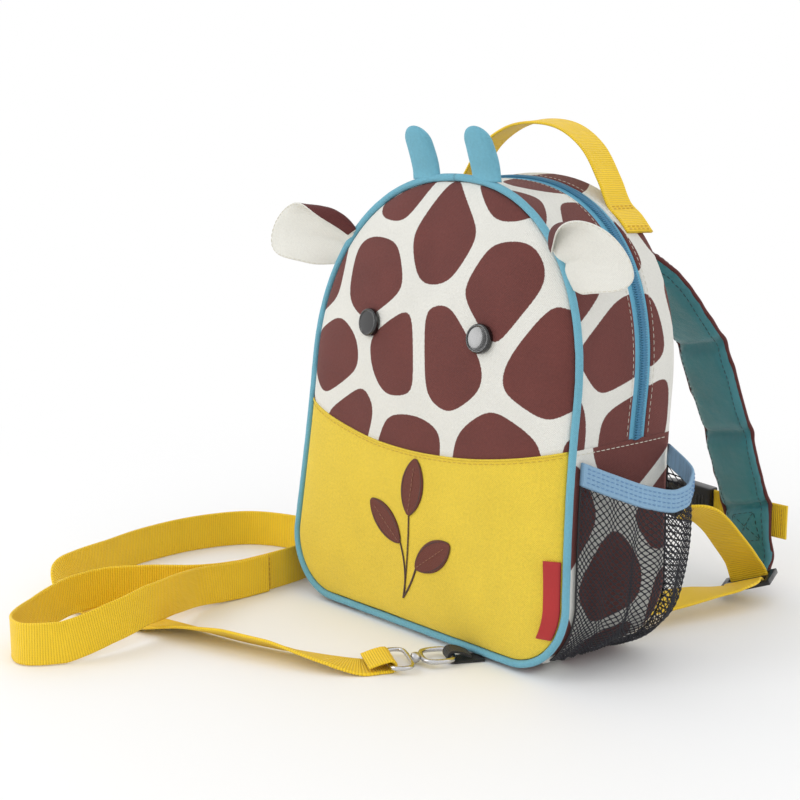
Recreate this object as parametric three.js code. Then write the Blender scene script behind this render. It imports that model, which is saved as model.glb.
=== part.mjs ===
// Mini backpack with a detachable walking rein, in millimetres.
// +Z is up, the front panel faces -Y, and the origin is the middle of the flat base.

import * as THREE from 'three';

// Main form of the bag
const BAG_WIDTH = 195;
const BASE_SPREAD = 10;
const BASE_WIDTH = BAG_WIDTH + BASE_SPREAD;
const BAG_HEIGHT = 236;
const BAG_DEPTH = 78;
const SPRING_LINE = 130;
const ARCH_POWER = 2.17;
const BASE_CORNER = 35;
const LEAN = THREE.MathUtils.degToRad(5.1);
const TOP_SET_BACK = 7.4;
const CROWN = 12.5;
const CROWN_POWER = 2.6;
const CROWN_ROUND = 0.6;
const FRONT_LIFT = 2;
const LIFT_RUN = 14;

// Cloth and seams
const WALL = 2;
const GAP = 0.3;
const PIPING_RADIUS = 2.2;
const GUSSET_INSET = 3;
const BELLY_SIZE = 3;
const TOP_SAG = 3;
const BACK_ROUND = 7;
const BACK_PAD = 4;
const BACK_CROWN = 1.5;
const BACK_SEAM = 0.9;
const GUSSET_SEAM = 110;
const FRONT_STRIP = 38;
const ZIP_WIDTH = 15;
const ZIP_COIL = 1.2;
const ZIP_SINK = 0.6;
const SLIDER_FOOT = 5;
const SLIDER_LENGTH = 12;
const SLIDER_WIDTH = 8;
const SLIDER_HEIGHT = 3;
const PANEL_SEAM_CENTRE = 97;
const PANEL_SEAM_SIDE = 110;

// Trim on the front
const BUTTON_RADIUS = 7.5;
const BUTTON_HEIGHT = 4;
const BUTTON_X = 40;
const BUTTON_Z = 158;
const TAG_WIDTH = 9;
const TAG_HEIGHT = 38;
const TAG_FOOT = 20;
const TAG_THICKNESS = 1;
const PATCH_THICKNESS = 0.8;
const HORN_WIDTH = 19;
const HORN_HEIGHT = 24;
const HORN_THICKNESS = 7;
const HORN_X = 21.5;
const HORN_NOD = 5;
const HORN_TILT = 2;
const EAR_LENGTH = 52;
const EAR_HALF_WIDTH = 17;
const EAR_FORWARD = 13;
const EAR_THICKNESS = 3.4;
const EAR_DROP = 37;
const EAR_HEIGHT = BAG_HEIGHT - EAR_DROP;

// Webbing
const WEBBING_WIDTH = 22;
const WEBBING_THICKNESS = 1.6;
const HANDLE_WIDTH = 18;
const HANDLE_RISE = 26;
const HANDLE_HALF_SPAN = 56;
const HANDLE_PATCH = 20;
const HANDLE_MARGIN = 1;
const HANDLE_LEAN = THREE.MathUtils.degToRad(4.6);

// Side pockets
const POCKET_TOP = 104;
const POCKET_FOOT = 7;
const POCKET_BULGE = 21;
const POCKET_DROOP = 17;
const POCKET_SEAM = 4;
const GATHER_DEPTH = 1.1;
const GATHER_COUNT = 4;
const NET_THICKNESS = 1.4;
const NET_COLUMNS = 7;
const NET_ROWS = 6;
const NET_HOLE = 0.74;
const BINDING_HEIGHT = 10;
const BINDING_THICKNESS = 2;

// Shoulder straps and ladder locks
const STRAP_WIDTH = 37;
const STRAP_THICKNESS = 7;
const STRAP_SPREAD = 66;
const STRAP_REACH = 106;
const FOLD_DEPTH = 1.6;
const LOCK_WIDTH = 30;
const LOCK_LENGTH = 21;
const LOCK_THICKNESS = 3;
const LOCK_BAR = 3;
const LOCK_SPREAD = 85;
const LOCK_SET_BACK = 99.5;
const LOCK_LIFT = 2.5;
const LOCK_YAW = THREE.MathUtils.degToRad(20);
const LOCK_ROLL = THREE.MathUtils.degToRad(20);
const LOCK_PITCH = THREE.MathUtils.degToRad(4);

// Chest strap and its buckle
const CHEST_HEIGHT = 40;
const CHEST_TAB = 6;
const CHEST_WEBBING_WIDTH = 20;
const BUCKLE_LENGTH = 42;
const BUCKLE_HEIGHT = 25;
const BUCKLE_THICKNESS = 9;
const BUCKLE_BEVEL = 0.8;
const BUCKLE_X = 20;
const SOCKET_LENGTH = 23.5;
const TONGUE_LENGTH = 10.5;

// Rein hook, its ring and the loop that holds it to the bag
const HOOK_WIRE = 1.5;
const HOOK_LENGTH = 15;
const HOOK_WIDTH = 17;
const HOOK_STEM = 3.4;
const HOOK_X = 41;
const HOOK_AHEAD = 13;
const HOOK_YAW = THREE.MathUtils.degToRad(240.7);
const RING_WIRE = 1.3;
const RING_LENGTH = 11;
const RING_WIDTH = 26;
const ANCHOR_WIDTH = 10;
const ANCHOR_THICKNESS = 1.3;
const ANCHOR_TUCK = 16;
const ANCHOR_RETURN = 9;

// Rein: farthest reach beside the bag and ahead of the ring, and the fold round the ring
const REIN_REACH = 100;
const REIN_AHEAD = 131;
const REIN_FOLD_WIDTH = 20;
const REIN_FOLD_LOW = 13;
const REIN_FOLD_HIGH = 11;
const FLOOR_GAP = 0.15;

// Depth profile of the side of the bag: share of the depth, and how far the cloth bellies out
const BELLY = [
  { share: 0.0, belly: 0.0 },
  { share: 0.2, belly: 0.3 },
  { share: 0.5, belly: 0.75 },
  { share: 0.8, belly: 1.0 },
  { share: 1.0, belly: 0.85 },
];

// Soft dents of the front panel: centre as shares of half width and height, size as a share of the
// width, depth as a share of the crown
const DENTS = [
  { across: -0.62, up: 0.5, size: 0.13, depth: 0.128 },
  { across: 0.66, up: 0.6, size: 0.154, depth: 0.112 },
  { across: 0.1, up: 0.86, size: 0.123, depth: 0.104 },
  { across: -0.3, up: 0.14, size: 0.144, depth: 0.096 },
];

// Pocket form from its front seam to its back seam: how far it bellies and how far the mouth droops
const POCKET_ACROSS = [
  { share: 0.0, bulge: 0.0, droop: 0.0 },
  { share: 0.25, bulge: 0.36, droop: 0.42 },
  { share: 0.5, bulge: 0.68, droop: 0.85 },
  { share: 0.75, bulge: 0.97, droop: 1.0 },
  { share: 0.92, bulge: 1.0, droop: 0.72 },
  { share: 1.0, bulge: 0.0, droop: 0.0 },
];
const POCKET_UP = [
  { share: 0.0, bulge: 0.0 },
  { share: 0.12, bulge: 0.24 },
  { share: 0.35, bulge: 0.7 },
  { share: 0.7, bulge: 1.0 },
  { share: 1.0, bulge: 1.0 },
];

// Horn from its seam to its tip: shares of its height, width and thickness
const HORN_SECTIONS = [
  { up: 0.0, width: 1.0, thickness: 0.6 },
  { up: 0.17, width: 0.99, thickness: 0.8 },
  { up: 0.33, width: 0.97, thickness: 0.95 },
  { up: 0.5, width: 0.96, thickness: 1.0 },
  { up: 0.67, width: 0.93, thickness: 0.94 },
  { up: 0.83, width: 0.78, thickness: 0.72 },
  { up: 1.0, width: 0.28, thickness: 0.29 },
];

// Handle from where it leaves the seam to its middle: shares of the half span, of its rise, and of
// its width towards the back
const HANDLE_ROUTE = [
  { out: 0.86, up: 0.3, back: 0.06 },
  { out: 0.65, up: 0.68, back: 0.11 },
  { out: 0.34, up: 0.93, back: 0.17 },
  { out: 0.0, up: 1.0, back: 0.17 },
];

// Upper half outlines of the buckle from end to mouth: along as a share of a named length, less a
// number of gaps, and out as a share of half the buckle's height
const SOCKET_OUTLINE = [
  { of: 'socket', along: 1.0, gaps: 0, out: 0.86 },
  { of: 'socket', along: 0.0, gaps: 0, out: 1.0 },
  { of: 'socket', along: 0.0, gaps: 0, out: 0.62 },
  { of: 'mouth', along: 1.0, gaps: 0, out: 0.5 },
];
const PLUG_OUTLINE = [
  { of: 'plug', along: -1.0, gaps: 0, out: 0.8 },
  { of: 'plug', along: 0.0, gaps: 1, out: 0.9 },
  { of: 'plug', along: 0.0, gaps: 1, out: 0.45 },
  { of: 'mouth', along: 1.0, gaps: 2, out: 0.36 },
];

// Ear from its seam to its tip: shares of its length, half width, forward reach, drop, and curl
const EAR_SECTIONS = [
  { along: 0.0, half: 0.56, forward: 0.0, drop: 0.08, curl: 0.15 },
  { along: 0.2, half: 0.86, forward: 0.25, drop: 0.0, curl: 0.3 },
  { along: 0.42, half: 1.0, forward: 0.55, drop: -0.06, curl: 0.42 },
  { along: 0.65, half: 0.86, forward: 0.8, drop: -0.02, curl: 0.4 },
  { along: 0.85, half: 0.58, forward: 0.95, drop: 0.06, curl: 0.25 },
  { along: 1.0, half: 0.24, forward: 1.0, drop: 0.12, curl: 0.05 },
];

// Shoulder strap from the back panel to its ladder lock: shares of the strap's spread, its reach
// behind the back panel and the bag's height, with the strap's width and the depth of its folds
const STRAP_ROUTE = [
  { spread: 0.66, reach: 0.0, up: 0.835, width: 0.9, fold: 0 },
  { spread: 0.665, reach: 0.1, up: 0.825, width: 0.97, fold: 0 },
  { spread: 0.79, reach: 0.235, up: 0.778, width: 1, fold: 0 },
  { spread: 0.885, reach: 0.37, up: 0.703, width: 1, fold: 0 },
  { spread: 0.93, reach: 0.525, up: 0.612, width: 1, fold: 1 },
  { spread: 0.95, reach: 0.66, up: 0.5, width: 1, fold: 0 },
  { spread: 0.965, reach: 0.775, up: 0.388, width: 1, fold: 1 },
  { spread: 0.98, reach: 0.885, up: 0.276, width: 0.98, fold: 0 },
  { spread: 1.01, reach: 0.935, up: 0.198, width: 0.93, fold: 0.8 },
  { spread: 1.08, reach: 0.94, up: 0.128, width: 0.76, fold: 0 },
  { spread: 1.13, reach: 0.935, up: 0.086, width: 0.62, fold: 0 },
];
const STRAP_TIP = [{ width: 0.56, fold: 0 }, { width: 0.54, fold: 0 }];

// Shares of the strap's way where it starts to turn towards the lock and to thin, and of its
// thickness that a fold and the tip lose
const STRAP_TURN = 0.75;
const STRAP_THINS = 0.86;
const FOLD_THINNING = 0.25;
const TIP_THINNING = 0.4;

// Lower webbing from the foot of the back to its lock: share of the way, height as a share of the
// webbing's width, and how far its outer edge is lifted in degrees
const LOWER_WEBBING_ROUTE = [
  { along: 0.0, up: 0.6, lift: -8 },
  { along: 0.16, up: 0.5, lift: -12 },
  { along: 0.42, up: 0.5, lift: -8 },
  { along: 0.7, up: 0.52, lift: 2 },
  { along: 0.9, up: 0.5, lift: 12 },
];
const LOWER_WEBBING_X = 66;

// Webbing through the lock, seen from its side: places along the lock as shares of its length,
// from the bar nearest the bag, and off its middle plane as shares of the seat on a bar
const LOCK_THREADING = [
  { along: -0.72, off: 1.15 },
  { along: -0.5, off: 1.05 },
  { along: -0.37, off: 1.05 },
  { along: -0.3, off: 0.75 },
  { along: -0.2145, off: 0.0 },
  { along: -0.13, off: -0.75 },
  { along: -0.06, off: -1.05 },
  { along: 0.06, off: -1.05 },
  { along: 0.15, off: -0.8 },
  { along: 0.21, off: 0.0 },
  { along: 0.22, off: 1.6 },
];

// Free tail of the webbing above the lock: shares of its length towards the bag, upward and inward
const TAIL_LENGTH = 52;
const TAIL_TURN = 0.35;
const TAIL_ROUTE = [
  { back: 0.06, up: 0.14, inward: 0.04 },
  { back: 0.24, up: 0.38, inward: 0.1 },
  { back: 0.42, up: 0.6, inward: 0.17 },
  { back: 0.58, up: 0.72, inward: 0.23 },
  { back: 0.74, up: 0.74, inward: 0.34 },
];
const TAIL_SIDE = new THREE.Vector3(0.78, -0.3, 0.55);

// Plan of the rein on the floor. Left: 0 at the ring, 1 at the bag's left side, 2 at the farthest
// reach. Ahead: share of the farthest reach ahead of the ring. Roll: degrees from upright. Lift:
// height off the floor as a share of the webbing's width.
const REIN_ROUTE = [
  { left: 0.135, ahead: 0.154, roll: 78, lift: 0.02 },
  { left: 0.35, ahead: 0.245, roll: 60, lift: 0.02 },
  { left: 0.57, ahead: 0.314, roll: 58, lift: 0.02 },
  { left: 0.79, ahead: 0.367, roll: 70, lift: 0.02 },
  { left: 1.015, ahead: 0.413, roll: 88, lift: 0 },
  { left: 1.295, ahead: 0.459, roll: 89, lift: 0 },
  { left: 1.555, ahead: 0.497, roll: 82, lift: 0.02 },
  { left: 1.735, ahead: 0.482, roll: 36, lift: 0.05 },
  { left: 1.825, ahead: 0.39, roll: 8, lift: 0.02 },
  { left: 1.915, ahead: 0.191, roll: 0, lift: 0 },
  { left: 1.995, ahead: -0.053, roll: 0, lift: 0 },
  { left: 1.995, ahead: -0.343, roll: 0, lift: 0 },
  { left: 1.875, ahead: -0.572, roll: 0, lift: 0 },
  { left: 1.645, ahead: -0.679, roll: 0, lift: 0 },
  { left: 1.395, ahead: -0.71, roll: 0, lift: 0 },
  { left: 1.195, ahead: -0.618, roll: 0, lift: 0 },
  { left: 1.095, ahead: -0.45, roll: 0, lift: 0 },
  { left: 1.065, ahead: -0.252, roll: 0, lift: 0 },
  { left: 1.065, ahead: -0.084, roll: 0, lift: 0 },
];
const HAND_LOOP_ROUTE = [
  { left: 1.067, ahead: -0.078, roll: 0, lift: 0 },
  { left: 1.082, ahead: 0.023, roll: 0, lift: 0.03 },
  { left: 1.118, ahead: 0.13, roll: 0, lift: 0.08 },
  { left: 1.245, ahead: 0.282, roll: 0, lift: 0.14 },
  { left: 1.355, ahead: 0.45, roll: 0, lift: 0.17 },
  { left: 1.365, ahead: 0.618, roll: 0, lift: 0.14 },
  { left: 1.255, ahead: 0.832, roll: 0, lift: 0.01 },
  { left: 1.095, ahead: 0.985, roll: 0, lift: 0.01 },
  { left: 0.965, ahead: 1.0, roll: 0, lift: 0.01 },
  { left: 0.87, ahead: 0.878, roll: 0, lift: 0.01 },
  { left: 0.845, ahead: 0.695, roll: 0, lift: 0.22 },
  { left: 0.87, ahead: 0.511, roll: 0, lift: 0.36 },
  { left: 0.94, ahead: 0.328, roll: 0, lift: 0.3 },
  { left: 1.025, ahead: 0.16, roll: 0, lift: 0.14 },
  { left: 1.048, ahead: 0.023, roll: 0, lift: 0.03 },
  { left: 1.044, ahead: -0.076, roll: 0, lift: 0 },
];

// Leaves of the sprig on the lower panel: middle as shares of the bag's half width and of the
// panel seam's height, heading in degrees, half length and half width as shares of the leaf's
const LEAF_LENGTH = 30;
const LEAF_WIDTH = 14;
const LEAF_TIP = 0.15;
const LEAVES = [
  { name: 'leaf_patch_top', across: 0.03, up: 0.81, heading: 84, length: 0.5, width: 0.53 },
  { name: 'leaf_patch_left', across: -0.17, up: 0.59, heading: 142, length: 0.5, width: 0.5 },
  { name: 'leaf_patch_right', across: 0.2, up: 0.47, heading: 36, length: 0.5, width: 0.5 },
];

// How finely the long pieces are divided: steps over a whole piece, or from one point of its route
// to the next
const ARCH_STEPS = 36;
const BASE_STEPS = 26;
const STRAP_STEPS = 2;
const WEBBING_STEPS = 2;
const HANDLE_STEPS = 3;
const REIN_STEPS = 2;
const LOOP_STEPS = 3;
const CORNER_STEPS = 3;

// Rows of a panel crowd towards its top, and the last one stops just short of a point
const LAST_ROW = 0.965;
const LOOP_CORNER = 0.28;

const SIDES = [['left', -1], ['right', 1]];

const CREAM = 0xe8e9e4;
const YELLOW = 0xe8d75a;
const WEBBING_YELLOW = 0xebc314;
const LIGHT_BLUE = 0x78c3d7;
const ZIP_BLUE = 0x469bc3;
const TEAL = 0x1e5a64;
const BROWN = 0x824e4a;
const BLACK = 0x151518;
const BINDING_BLUE = 0x82afd7;
const RED = 0xbe1e14;
const STEEL = 0xc8c8ca;

const bag = new THREE.Group();

function add(name, geometry, color, roughness = 0.9, metalness = 0) {
  const material = new THREE.MeshStandardMaterial({ color, roughness, metalness });
  const mesh = new THREE.Mesh(geometry, material);
  mesh.name = name;
  bag.add(mesh);
  return mesh;
}

// A value read smoothly from a table whose rows are sorted by the column "key"
function read(table, key, column, value) {
  let row = 0;
  while (row < table.length - 2 && value > table[row + 1][key]) {
    row += 1;
  }
  const low = table[row];
  const high = table[row + 1];
  const share = THREE.MathUtils.clamp((value - low[key]) / (high[key] - low[key]), 0, 1);
  const eased = share * share * (3 - 2 * share);
  return THREE.MathUtils.lerp(low[column], high[column], eased);
}

// One closed body from points and triangles, turned so that its faces point out
function closedBody(points, triangles) {
  let volume = 0;
  for (let i = 0; i < triangles.length; i += 3) {
    const a = points[triangles[i]];
    const b = points[triangles[i + 1]];
    const c = points[triangles[i + 2]];
    volume += a.dot(new THREE.Vector3().crossVectors(b, c));
  }
  if (volume < 0) {
    triangles.reverse();
  }
  const geometry = new THREE.BufferGeometry().setFromPoints(points);
  geometry.setIndex(triangles);
  geometry.computeVertexNormals();
  return geometry;
}

function quad(triangles, a, b, c, d) {
  triangles.push(a, b, c, a, c, d);
}

// Two layers of a grid joined round their border
function twoLayers(rows, columns, outer, inner) {
  const points = [];
  for (const layer of [outer, inner]) {
    for (let i = 0; i <= rows; i += 1) {
      for (let j = 0; j <= columns; j += 1) {
        points.push(layer[i][j]);
      }
    }
  }
  const size = (rows + 1) * (columns + 1);
  const at = (layer, i, j) => layer * size + i * (columns + 1) + j;
  const triangles = [];
  for (let i = 0; i < rows; i += 1) {
    for (let j = 0; j < columns; j += 1) {
      quad(triangles, at(0, i, j), at(0, i, j + 1), at(0, i + 1, j + 1), at(0, i + 1, j));
      quad(triangles, at(1, i, j), at(1, i + 1, j), at(1, i + 1, j + 1), at(1, i, j + 1));
    }
  }
  for (let j = 0; j < columns; j += 1) {
    quad(triangles, at(0, 0, j), at(1, 0, j), at(1, 0, j + 1), at(0, 0, j + 1));
    quad(triangles, at(0, rows, j), at(0, rows, j + 1), at(1, rows, j + 1), at(1, rows, j));
  }
  for (let i = 0; i < rows; i += 1) {
    quad(triangles, at(0, i, 0), at(0, i + 1, 0), at(1, i + 1, 0), at(1, i, 0));
    quad(triangles, at(0, i, columns), at(1, i, columns), at(1, i + 1, columns), at(0, i + 1, columns));
  }
  return closedBody(points, triangles);
}

// A grid of points on a surface, with i and j as shares from 0 to 1
function grid(rows, columns, point) {
  const points = [];
  for (let i = 0; i <= rows; i += 1) {
    const line = [];
    for (let j = 0; j <= columns; j += 1) {
      line.push(point(i / rows, j / columns));
    }
    points.push(line);
  }
  return points;
}

function gridNormal(points, i, j) {
  const last = points.length - 1;
  const end = points[0].length - 1;
  const along = points[Math.min(i + 1, last)][j].clone().sub(points[Math.max(i - 1, 0)][j]);
  const across = points[i][Math.min(j + 1, end)].clone().sub(points[i][Math.max(j - 1, 0)]);
  return new THREE.Vector3().crossVectors(along, across).normalize();
}

function offsetGrid(points, distance) {
  return points.map((line, i) => line.map((point, j) => (
    point.clone().addScaledVector(gridNormal(points, i, j), distance)
  )));
}

// A copy of a grid moved along Y
function movedBack(points, distance) {
  return points.map((line) => line.map((point) => point.clone().setY(point.y + distance)));
}

// Cloth of even thickness behind a surface
function cloth(rows, columns, point, thickness) {
  const outer = grid(rows, columns, point);
  return twoLayers(rows, columns, outer, offsetGrid(outer, thickness));
}

// Corners of a section set at a station, which has a place, a width direction and a normal
function sectionPoints(station, section) {
  return section.map((corner) => (
    station.place.clone()
      .addScaledVector(station.side, corner.x * station.width)
      .addScaledVector(station.normal, corner.y * station.thickness)
  ));
}

// A section carried along stations
function sweep(stations, section) {
  const points = stations.flatMap((station) => sectionPoints(station, section));
  const triangles = [];
  const sides = section.length;
  for (let i = 0; i + 1 < stations.length; i += 1) {
    for (let j = 0; j < sides; j += 1) {
      const next = (j + 1) % sides;
      quad(triangles, i * sides + j, i * sides + next, (i + 1) * sides + next, (i + 1) * sides + j);
    }
  }
  const last = (stations.length - 1) * sides;
  for (let j = 1; j + 1 < sides; j += 1) {
    triangles.push(0, j + 1, j);
    triangles.push(last, last + j, last + j + 1);
  }
  return closedBody(points, triangles);
}

const FLAT_SECTION = [
  new THREE.Vector2(-0.5, -0.5),
  new THREE.Vector2(0.5, -0.5),
  new THREE.Vector2(0.5, 0.5),
  new THREE.Vector2(-0.5, 0.5),
];

const PADDED_SECTION = [
  new THREE.Vector2(-0.5, -0.18),
  new THREE.Vector2(-0.4, -0.46),
  new THREE.Vector2(0.4, -0.46),
  new THREE.Vector2(0.5, -0.18),
  new THREE.Vector2(0.5, 0.18),
  new THREE.Vector2(0.4, 0.46),
  new THREE.Vector2(-0.4, 0.46),
  new THREE.Vector2(-0.5, 0.18),
];

// Stations along a smooth route, a few to each stretch between two of its points. The share runs
// evenly over the points, and the width direction is a function of it.
function stationsAlong(route, perStretch, widthDirection, width, thickness) {
  const curve = new THREE.CatmullRomCurve3(route, false, 'centripetal');
  const stations = [];
  const steps = perStretch * (route.length - 1);
  for (let i = 0; i <= steps; i += 1) {
    const share = i / steps;
    const heading = curve.getTangent(share);
    const side = widthDirection(share, heading);
    side.addScaledVector(heading, -side.dot(heading)).normalize();
    stations.push({
      share,
      place: curve.getPoint(share),
      side,
      normal: new THREE.Vector3().crossVectors(heading, side).normalize(),
      width: typeof width === 'function' ? width(share) : width,
      thickness,
    });
  }
  return stations;
}

function tableAt(table, column, share) {
  const spot = THREE.MathUtils.clamp(share, 0, 1) * (table.length - 1);
  const row = Math.min(Math.floor(spot), table.length - 2);
  return THREE.MathUtils.lerp(table[row][column], table[row + 1][column], spot - row);
}

// Width direction of webbing whose roll from upright is in a table
function rolled(table, mirror = 1) {
  return (share, heading) => {
    const roll = THREE.MathUtils.degToRad(tableAt(table, 'roll', share)) * mirror;
    const level = new THREE.Vector3(0, 0, 1).cross(heading).normalize();
    return new THREE.Vector3(0, 0, Math.cos(roll)).addScaledVector(level, Math.sin(roll));
  };
}

// Outline of the front panel, its arch being half a superellipse
function outlinePoints() {
  const right = [];
  const halfWidth = BAG_WIDTH / 2;
  const halfBase = BASE_WIDTH / 2;
  const flat = halfBase - BASE_CORNER;
  for (let i = 0; i <= 8; i += 1) {
    right.push(new THREE.Vector2(flat * i / 8, 0));
  }
  for (let i = 1; i <= 16; i += 1) {
    const turn = Math.PI / 2 * i / 16;
    right.push(new THREE.Vector2(flat + BASE_CORNER * Math.sin(turn), BASE_CORNER * (1 - Math.cos(turn))));
  }
  for (let i = 1; i <= 20; i += 1) {
    const share = i / 20;
    const x = halfBase + (halfWidth - halfBase) * Math.sin(Math.PI / 2 * share);
    right.push(new THREE.Vector2(x, THREE.MathUtils.lerp(BASE_CORNER, SPRING_LINE, share)));
  }
  for (let i = 1; i <= 72; i += 1) {
    const turn = Math.PI / 2 * i / 72;
    const x = halfWidth * Math.cos(turn) ** (2 / ARCH_POWER);
    right.push(new THREE.Vector2(
      i === 72 ? 0 : x,
      SPRING_LINE + (BAG_HEIGHT - SPRING_LINE) * Math.sin(turn) ** (2 / ARCH_POWER),
    ));
  }
  return right;
}

const HALF_OUTLINE = outlinePoints();
const HALF_LENGTHS = [0];
for (let i = 1; i < HALF_OUTLINE.length; i += 1) {
  HALF_LENGTHS.push(HALF_LENGTHS[i - 1] + HALF_OUTLINE[i].distanceTo(HALF_OUTLINE[i - 1]));
}
const HALF_LENGTH = HALF_LENGTHS[HALF_LENGTHS.length - 1];

// Place and outward direction on the right half outline, a distance along it from the base
function halfOutlineAt(distance) {
  let row = 0;
  while (row < HALF_LENGTHS.length - 2 && distance > HALF_LENGTHS[row + 1]) {
    row += 1;
  }
  const share = (distance - HALF_LENGTHS[row]) / (HALF_LENGTHS[row + 1] - HALF_LENGTHS[row]);
  const before = HALF_OUTLINE[Math.max(row - 1, 0)];
  const after = HALF_OUTLINE[Math.min(row + 2, HALF_OUTLINE.length - 1)];
  const heading = after.clone().sub(before).normalize();
  if (distance < 1e-6 || distance > HALF_LENGTH - 1e-6) {
    heading.set(distance < 1 ? 1 : -1, 0);
  }
  return {
    place: HALF_OUTLINE[row].clone().lerp(HALF_OUTLINE[row + 1], share),
    outward: new THREE.Vector2(heading.y, -heading.x),
  };
}

// Place on the whole outline, moved inward; positive distances run up the right side
function outlineAt(distance, inset) {
  const mirror = distance < 0 ? -1 : 1;
  const spot = halfOutlineAt(Math.min(Math.abs(distance), HALF_LENGTH));
  const place = spot.place.addScaledVector(spot.outward, -inset);
  return {
    x: place.x * mirror,
    s: place.y,
    down: Math.max(-spot.outward.y, 0),
    up: Math.max(spot.outward.y, 0),
  };
}

// Distance along the outline at which the right side reaches a height
function distanceAtHeight(height) {
  let row = 0;
  while (HALF_OUTLINE[row + 1].y < height) {
    row += 1;
  }
  const low = HALF_OUTLINE[row];
  const high = HALF_OUTLINE[row + 1];
  const share = (height - low.y) / (high.y - low.y);
  return THREE.MathUtils.lerp(HALF_LENGTHS[row], HALF_LENGTHS[row + 1], share);
}

// Half width of the outline, moved inward, at a height
function halfWidthAt(height, inset) {
  let low = distanceAtHeight(0.01);
  let high = HALF_LENGTH;
  for (let i = 0; i < 40; i += 1) {
    const middle = (low + high) / 2;
    if (outlineAt(middle, inset).s < height) {
      low = middle;
    } else {
      high = middle;
    }
  }
  return outlineAt(low, inset).x;
}

const PANEL_INSET = 2 * PIPING_RADIUS + GAP;
const frontEdge = (s) => -BAG_DEPTH / 2 + TOP_SET_BACK * (s / BAG_HEIGHT) ** 2 + s * Math.tan(LEAN);
const backEdge = (s) => BAG_DEPTH / 2 + s * Math.tan(LEAN);
const heightOf = (s) => s + FRONT_LIFT;

// Outer face of the front panel, and the same face as a solid point
function panelDepth(x, s) {
  const across = THREE.MathUtils.clamp(Math.abs(x) / (halfWidthAt(s, PANEL_INSET) + 0.01), 0, 1);
  const middle = BAG_HEIGHT / 2;
  const up = THREE.MathUtils.clamp(Math.abs(s - middle) / (middle - PANEL_INSET), 0, 1);
  let crown = CROWN * ((1 - across ** CROWN_POWER) * (1 - up ** CROWN_POWER)) ** CROWN_ROUND;
  for (const dent of DENTS) {
    const away = Math.hypot(x - dent.across * BAG_WIDTH / 2, s - dent.up * BAG_HEIGHT);
    const reach = away / (dent.size * BAG_WIDTH);
    crown -= dent.depth * CROWN * Math.exp(-reach * reach) * (1 - across ** 4);
  }
  return frontEdge(s) - crown;
}

const panelPoint = (x, s, proud = 0) => new THREE.Vector3(x, panelDepth(x, s) - proud, heightOf(s));
const panelSeam = (share) => THREE.MathUtils.lerp(PANEL_SEAM_CENTRE, PANEL_SEAM_SIDE, share * share);

// Front panel between two edges, each a height for a share from -1 to 1 across
function frontPanel(rows, columns, lower, upper) {
  const outer = grid(rows, columns, (up, across) => {
    const share = across * 2 - 1;
    const s = THREE.MathUtils.lerp(lower(share), upper(share), up);
    return panelPoint(share * halfWidthAt(s, PANEL_INSET), s);
  });
  return twoLayers(rows, columns, outer, movedBack(outer, WALL));
}

function upperPanel() {
  const rows = 11;
  const columns = 12;
  const top = BAG_HEIGHT - PANEL_INSET;
  const outer = grid(rows, columns, (up, across) => {
    const share = across * 2 - 1;
    const turn = Math.sin(up * Math.PI / 2 * LAST_ROW);
    const seam = panelSeam(share) + GAP / 2;
    const s = THREE.MathUtils.lerp(seam, top, turn);
    return panelPoint(share * halfWidthAt(s, PANEL_INSET), s);
  });
  return twoLayers(rows, columns, outer, movedBack(outer, WALL));
}

function buildFront() {
  add('front_panel_upper', upperPanel(), CREAM);
  const foot = () => PANEL_INSET;
  const seam = (share) => panelSeam(share) - GAP / 2;
  add('front_panel_lower', frontPanel(8, 12, foot, seam), YELLOW);
}

function buildPiping() {
  const points = [];
  const steps = 72;
  for (let i = 0; i < steps; i += 1) {
    const distance = (i / steps * 2 - 1) * HALF_LENGTH;
    const spot = outlineAt(distance, PIPING_RADIUS);
    points.push(new THREE.Vector3(spot.x, frontEdge(spot.s), heightOf(spot.s)));
  }
  const curve = new THREE.CatmullRomCurve3(points, true);
  const tube = new THREE.TubeGeometry(curve, 64, PIPING_RADIUS, 5, true);
  add('front_piping', weld(tube), LIGHT_BLUE);
}

// Shared corners joined into one, so that a looped tube closes on itself
function weld(geometry) {
  const source = geometry.getAttribute('position');
  const index = geometry.getIndex();
  const places = new Map();
  const points = [];
  const renamed = [];
  for (let i = 0; i < source.count; i += 1) {
    const point = new THREE.Vector3().fromBufferAttribute(source, i);
    const key = point.toArray().map((value) => Math.round(value * 1e4)).join(' ');
    if (!places.has(key)) {
      places.set(key, points.length);
      points.push(point);
    }
    renamed.push(places.get(key));
  }
  const triangles = [];
  const count = index ? index.count : source.count;
  for (let i = 0; i < count; i += 3) {
    const corners = [0, 1, 2].map((k) => renamed[index ? index.getX(i + k) : i + k]);
    if (new Set(corners).size === 3) {
      triangles.push(...corners);
    }
  }
  return closedBody(points, triangles);
}

// Outer face of the bag's side: a distance along the outline and a depth behind the front seam
function gussetPoint(distance, depth, proud = 0) {
  const rim = outlineAt(distance, 0);
  const whole = backEdge(rim.s) - frontEdge(rim.s);
  const share = THREE.MathUtils.clamp(depth / whole, 0, 1);
  let inset = GUSSET_INSET - BELLY_SIZE * read(BELLY, 'share', 'belly', share);
  inset += TOP_SAG * rim.up ** 4 * Math.sin(Math.PI * share);
  const lowered = THREE.MathUtils.smoothstep(depth, LIFT_RUN / 2, LIFT_RUN);
  inset = THREE.MathUtils.lerp(inset, -FRONT_LIFT * lowered, rim.down ** 3);
  const spot = outlineAt(distance, inset - proud);
  return new THREE.Vector3(spot.x, frontEdge(rim.s) + depth, heightOf(spot.s));
}

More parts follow.
